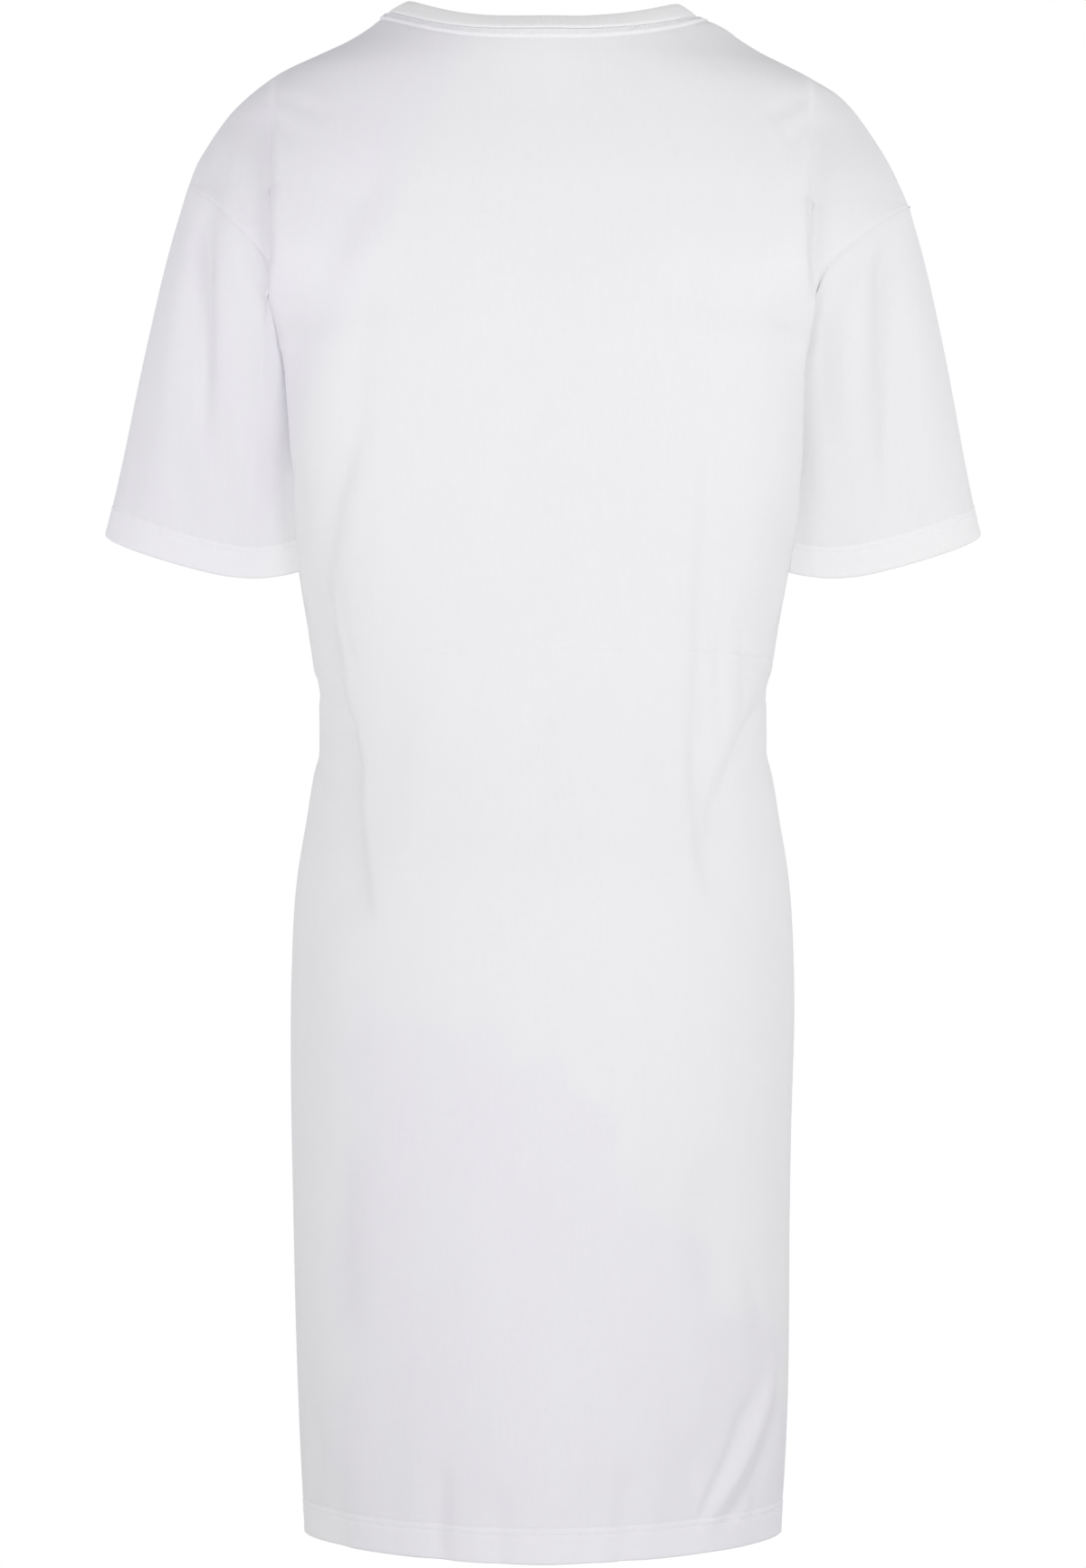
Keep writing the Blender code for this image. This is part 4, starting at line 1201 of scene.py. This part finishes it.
def jersey(name, high, low):
    """Plain knit: upright wales, each a row of small v loops, faint streaks and slubs in the yarn, and a
    painted lavender cast of the light in patches.
    """
    finish = Finish(name, ROUGHNESS)
    spot, across, down = finish.cloth_map()
    wale = (across * (2 * math.pi / WALE_PITCH)).sine()
    loop = knit_loops(across, down, WALE_PITCH, SLANT)
    streak, slub, cloud = (finish.streaks(spot, *kind) for kind in (STREAKS, SLUBS, CLOUDS))
    finish.bump(mixed((wale, loop, streak, slub), JERSEY_BUMPS), *JERSEY_BUMP)
    colour = finish.blend(mixed((streak, slub, cloud), JERSEY_SHADES), low, high)
    doubled = finish.node("ShaderNodeAttribute", {"attribute_name": "doubled"}, None, "Fac")
    colour = finish.blend(doubled * DOUBLED_PALER, colour, DOUBLED_WHITE)
    # painted light: a lavender cast of the light, multiplied into the colour over patches and clouds
    painted_cast = painted_lavender_cast(finish) * (cloud + CLOUDED)
    return finish.coloured(finish.blend(painted_cast, colour, PAINTED_LAVENDER_CAST, "MULTIPLY"))


def painted_lavender_cast(finish):
    """How far the cloth shows the painted lavender cast of the light, as a sum of patches whose borders
    waver.
    """
    place = finish.place("Object")
    x, _, z = finish.parts(place)
    waver = finish.noise(place, *WAVER) - 0.5
    x = x + waver * WAVER_X
    z = z + waver * WAVER_Z
    total = 0.0
    for patch, borders in PAINTED_CAST_PATCHES:
        for share_of_x, share_of_z, start, whole in borders:
            patch = finish.fade(x * share_of_x + z * share_of_z, start, whole) * patch
        total = patch + total
    return total


def rib(name, high, low):
    """Rib knit: its ridges are in the mesh, so this adds the loops and a faint unevenness."""
    finish = Finish(name, ROUGHNESS)
    spot, across, down = finish.cloth_map()
    streak = finish.streaks(spot, *RIB_STREAKS)
    loop = knit_loops(across, down, RIB_PITCH / 2, RIB_SLANT)
    finish.bump(mixed((loop, streak), RIB_BUMPS), *RIB_BUMP)
    return finish.coloured(finish.blend(streak, low, high))


def thread(name):
    """Sewing thread: smoother than the cloth, with a faint twist."""
    finish = Finish(name, THREAD_ROUGHNESS)
    finish.bump(finish.noise(finish.place("Object"), *TWIST), *THREAD_BUMP)
    return finish.coloured(THREAD_WHITE)


def cloth_uv(points):
    """Distance across from the middle column and distance up each column, in metres."""
    across = along(points, 1)
    middle = points.shape[1] // 2
    return np.stack([across - across[:, middle:middle + 1], along(points, 0)], axis=-1)


def sewn_body(points, rows, normal):
    """The folded back or front with its seams, hem and neck strip pressed in, and how far up it is."""
    up = along(points, 0)
    around = along(points, 1)
    from_waist = np.abs(up - up[rows["waist"]][None])
    from_end = np.minimum(around, around[:, -1:] - around)
    lift = seam_groove(from_end) + seam_groove(from_waist)
    lift = lift + hem_relief(up, SKIRT_HEM, around) + neck_relief(up[-1][None] - up, around)
    return points + normal * lift[..., None], up


def armhole_edge(rows, hand):
    """The rows and the column of a panel's edge, from the shoulder end down to the underarm."""
    return np.arange(rows["shoulder"], rows["underarm"] - 1, -1), -1 if hand == RIGHT else 0


def armhole_loop(grids, rows, hand):
    """Values round an armhole: behind from the shoulder end to the underarm, then up in front."""
    edge = armhole_edge(rows, hand)
    return np.concatenate([grids[BACK][edge], grids[FRONT][edge][-2:0:-1]]) * np.array([hand, 1, 1])


def turn_edges(hand, normals, sleeve_normal, rows):
    """Turns the body's and the sleeve's edges at the armhole seam to one shared direction."""
    sleeve_normal[0] = unit(armhole_loop(normals, rows, hand) + sleeve_normal[0])
    shared = sleeve_normal[0] * np.array([hand, 1, 1])
    edge = armhole_edge(rows, hand)
    count = len(edge[0])
    normals[BACK][edge] = shared[:count]
    normals[FRONT][edge] = np.append(shared[count - 1:], shared[:1], axis=0)[::-1]


def sleeve(name, hand, points, normal, material):
    """A sleeve as a shell with its seams and hem, and the runs of its hem stitches."""
    distance = along(points, 0)
    around = along(points, 1)
    from_hem = distance[-1][None] - distance
    seam_column = points.shape[1] // 2
    from_under_seam = np.abs(around - around[:, seam_column:seam_column + 1])
    girth = around[:, -1:] + np.linalg.norm(points[:, :1] - points[:, -1:], axis=-1)
    past_seam = np.arange(points.shape[1])[None] > seam_column
    lift = seam_groove(distance) + hem_relief(from_hem, SLEEVE_HEM, around)
    lift = lift - UNDER_SEAM_DEPTH * bell(from_under_seam, UNDER_SEAM_WIDTH)
    ply, inset, doubled = hem_cloth(from_hem, SLEEVE_HEM)
    outer = points + normal * (lift - inset)[..., None]
    inner = points + normal * (np.minimum(lift, 0) - ply + inset)[..., None]
    uv = np.stack([around - girth * past_seam, -distance], axis=-1)
    for grid in (outer, inner, normal):
        grid[..., 0] *= hand
    runs = [(outer[-1 - row], normal[-1 - row]) for row in stitched_rows(SLEEVE_HEM)]
    return wall(name, (outer, inner, uv, doubled), True, hand == LEFT, material), runs


def ring(grids, row):
    """A row round the whole dress, behind from left to right and then back in front."""
    return np.concatenate([grids[BACK][row], grids[FRONT][row, -2:0:-1]])


def declare(piece, node, goes_with):
    """Says what a piece of cloth rides on and replaces, and what goes with it."""
    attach(piece, "root")
    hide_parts(node)
    for other in goes_with:
        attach(other, "root")


def build_dress():
    """Models every piece of cloth and its stitching, and says what each one rides on and replaces."""
    cloth = jersey("white_jersey_knit", WHITE, WHITE_LOW)
    # painted shade: the sleeves' cloth is a darker copy of the jersey
    sleeve_painted_shade_cloth = jersey("white_jersey_sleeve_painted_shade", SLEEVE_PAINTED_SHADE_WHITE, SLEEVE_PAINTED_SHADE_WHITE_LOW)
    # painted light: the rib is painted lighter than the jersey
    band_painted_light_cloth = rib("white_rib_knit_painted_light", RIB_PAINTED_LIGHT_WHITE, RIB_PAINTED_LIGHT_WHITE_LOW)
    yarn = thread("white_sewing_thread")
    body, normals = {}, {}
    for side in (BACK, FRONT):
        points, rows = body_points(side)
        body[side] = folded_body(side, points)
        normals[side] = body_normals(side, body[side])
    made, sleeve_runs, sewn = {}, {}, {}
    for name, hand in (("left", LEFT), ("right", RIGHT)):
        grid = sleeve_points(hand, armhole_loop(body, rows, hand), body, rows)
        normal = grid_normals(grid, True)
        turn_edges(hand, normals, normal, rows)
        piece, sleeve_runs[name] = sleeve(f"sleeve_{name}_jersey", hand, grid, normal, sleeve_painted_shade_cloth)
        made["sleeve_" + name] = piece
    for name, side in (("back", BACK), ("front", FRONT)):
        sewn[side], from_hem = sewn_body(body[side], rows, normals[side])
        ply, inset, doubled = hem_cloth(from_hem, SKIRT_HEM)
        outer = sewn[side] - normals[side] * inset[..., None]
        inner = outer - normals[side] * (ply - 2 * inset)[..., None]
        grids = (outer, inner, cloth_uv(sewn[side]), doubled)
        for part, shown in (("skirt", slice(rows["waist"] + 1)), ("bodice", slice(rows["waist"], None))):
            node = name + "_" + part
            shell = [grid[shown] for grid in grids]
            made[node] = wall(node + "_jersey", shell, False, side == FRONT, cloth)
    made["neckband"] = neckband(ring(body, -1), band_painted_light_cloth)

    neck_rows = [-1 - row_at(NECK_STEPS, distance) for distance in NECK_STITCHES]
    hem_thread, neck_thread = (
        stitches(name, [(ring(sewn, row), ring(normals, row)) for row in stitched], yarn)
        for name, stitched in (("hem_stitching", stitched_rows(SKIRT_HEM)), ("neck_stitching", neck_rows))
    )
    cuff_left, cuff_right = (
        stitches("cuff_stitching_" + name, sleeve_runs[name], yarn) for name in ("left", "right")
    )
    sheets = {
        "back_bodice": ("white_jersey", (0.54, 0.42), 0.172, [neck_thread]),
        "front_bodice": ("white_jersey", (0.54, 0.42), 0.168, []),
        "back_skirt": ("white_jersey", (0.43, 0.547), 0.222, [hem_thread]),
        "front_skirt": ("white_jersey", (0.41, 0.542), 0.213, []),
        "sleeve_left": ("white_jersey", (0.45, 0.225), 0.0715, [cuff_left]),
        "sleeve_right": ("white_jersey", (0.43, 0.212), 0.0685, [cuff_right]),
        "neckband": ("white_rib", (0.60, 0.0165), None, []),
    }
    for node, (slot, flat, area, goes_with) in sheets.items():
        declare(made[node], node, goes_with)


def area_light(name, place, target, size, power, colour):
    """A soft rectangular light that faces a point."""
    lamp = bpy.data.lights.new(name, "AREA")
    lamp.shape = "RECTANGLE"
    lamp.size, lamp.size_y = size
    lamp.energy = power
    lamp.color = colour
    light = add_object(name, lamp)
    towards = unit(np.array(target, float) - np.array(place, float))
    light.location = place
    light.rotation_euler = (math.acos(-towards[2]), 0.0, math.atan2(-towards[0], towards[1]))


def set_the_room():
    """A pale floor, soft lights, and a white surround that lights the cloth less than it shows."""
    turn = np.arange(FLOOR_CORNERS) * 2 * math.pi / FLOOR_CORNERS
    rim = [(FLOOR_RADIUS * math.cos(a), FLOOR_RADIUS * math.sin(a), FLOOR_LEVEL) for a in turn]
    pale = Finish("pale_floor", ROUGHNESS, FLOOR_SHINE).coloured(FLOOR_GREY)
    link("floor", np.array(rim), [list(range(FLOOR_CORNERS))], pale)

    world = bpy.data.worlds.new("studio")
    bpy.context.scene.world = world
    world.use_nodes = True
    studio = Nodes(world.node_tree)
    height = studio.parts(studio.place("Generated"))[2]
    strength = studio.fade(height, 0.0, SURROUND_BLEND, SURROUND_LOW, SURROUND_HIGH)
    lit = studio.node("ShaderNodeBackground", None, {"Color": SURROUND, "Strength": strength})
    seen = studio.node("ShaderNodeBackground", None, {"Color": (1, 1, 1, 1), "Strength": 1.0})
    by_eye = studio.node("ShaderNodeLightPath", None, None, "Is Camera Ray")
    both = studio.node("ShaderNodeMixShader", None, {0: by_eye, 1: lit, 2: seen})
    studio.feed(studio.tree.nodes["World Output"].inputs[0], both)
    for name, light in LIGHTS.items():
        area_light(name, *light)
    bpy.context.scene.view_settings.view_transform = "Standard"


def set_the_camera():
    """Level with the middle of the skirt's top, square to the back."""
    lens = bpy.data.cameras.new("camera")
    lens.sensor_width = SENSOR_WIDTH
    lens.lens = lens.sensor_width / 2 / (FRAME_HEIGHT / 2 * PIXEL / EYE_DISTANCE)
    camera = add_object("camera", lens)
    camera.location = (0.0, -EYE_DISTANCE, EYE_HEIGHT)
    camera.rotation_euler = (math.radians(90), 0.0, 0.0)
    bpy.context.scene.camera = camera


set_the_camera()
build_dress()
set_the_room()
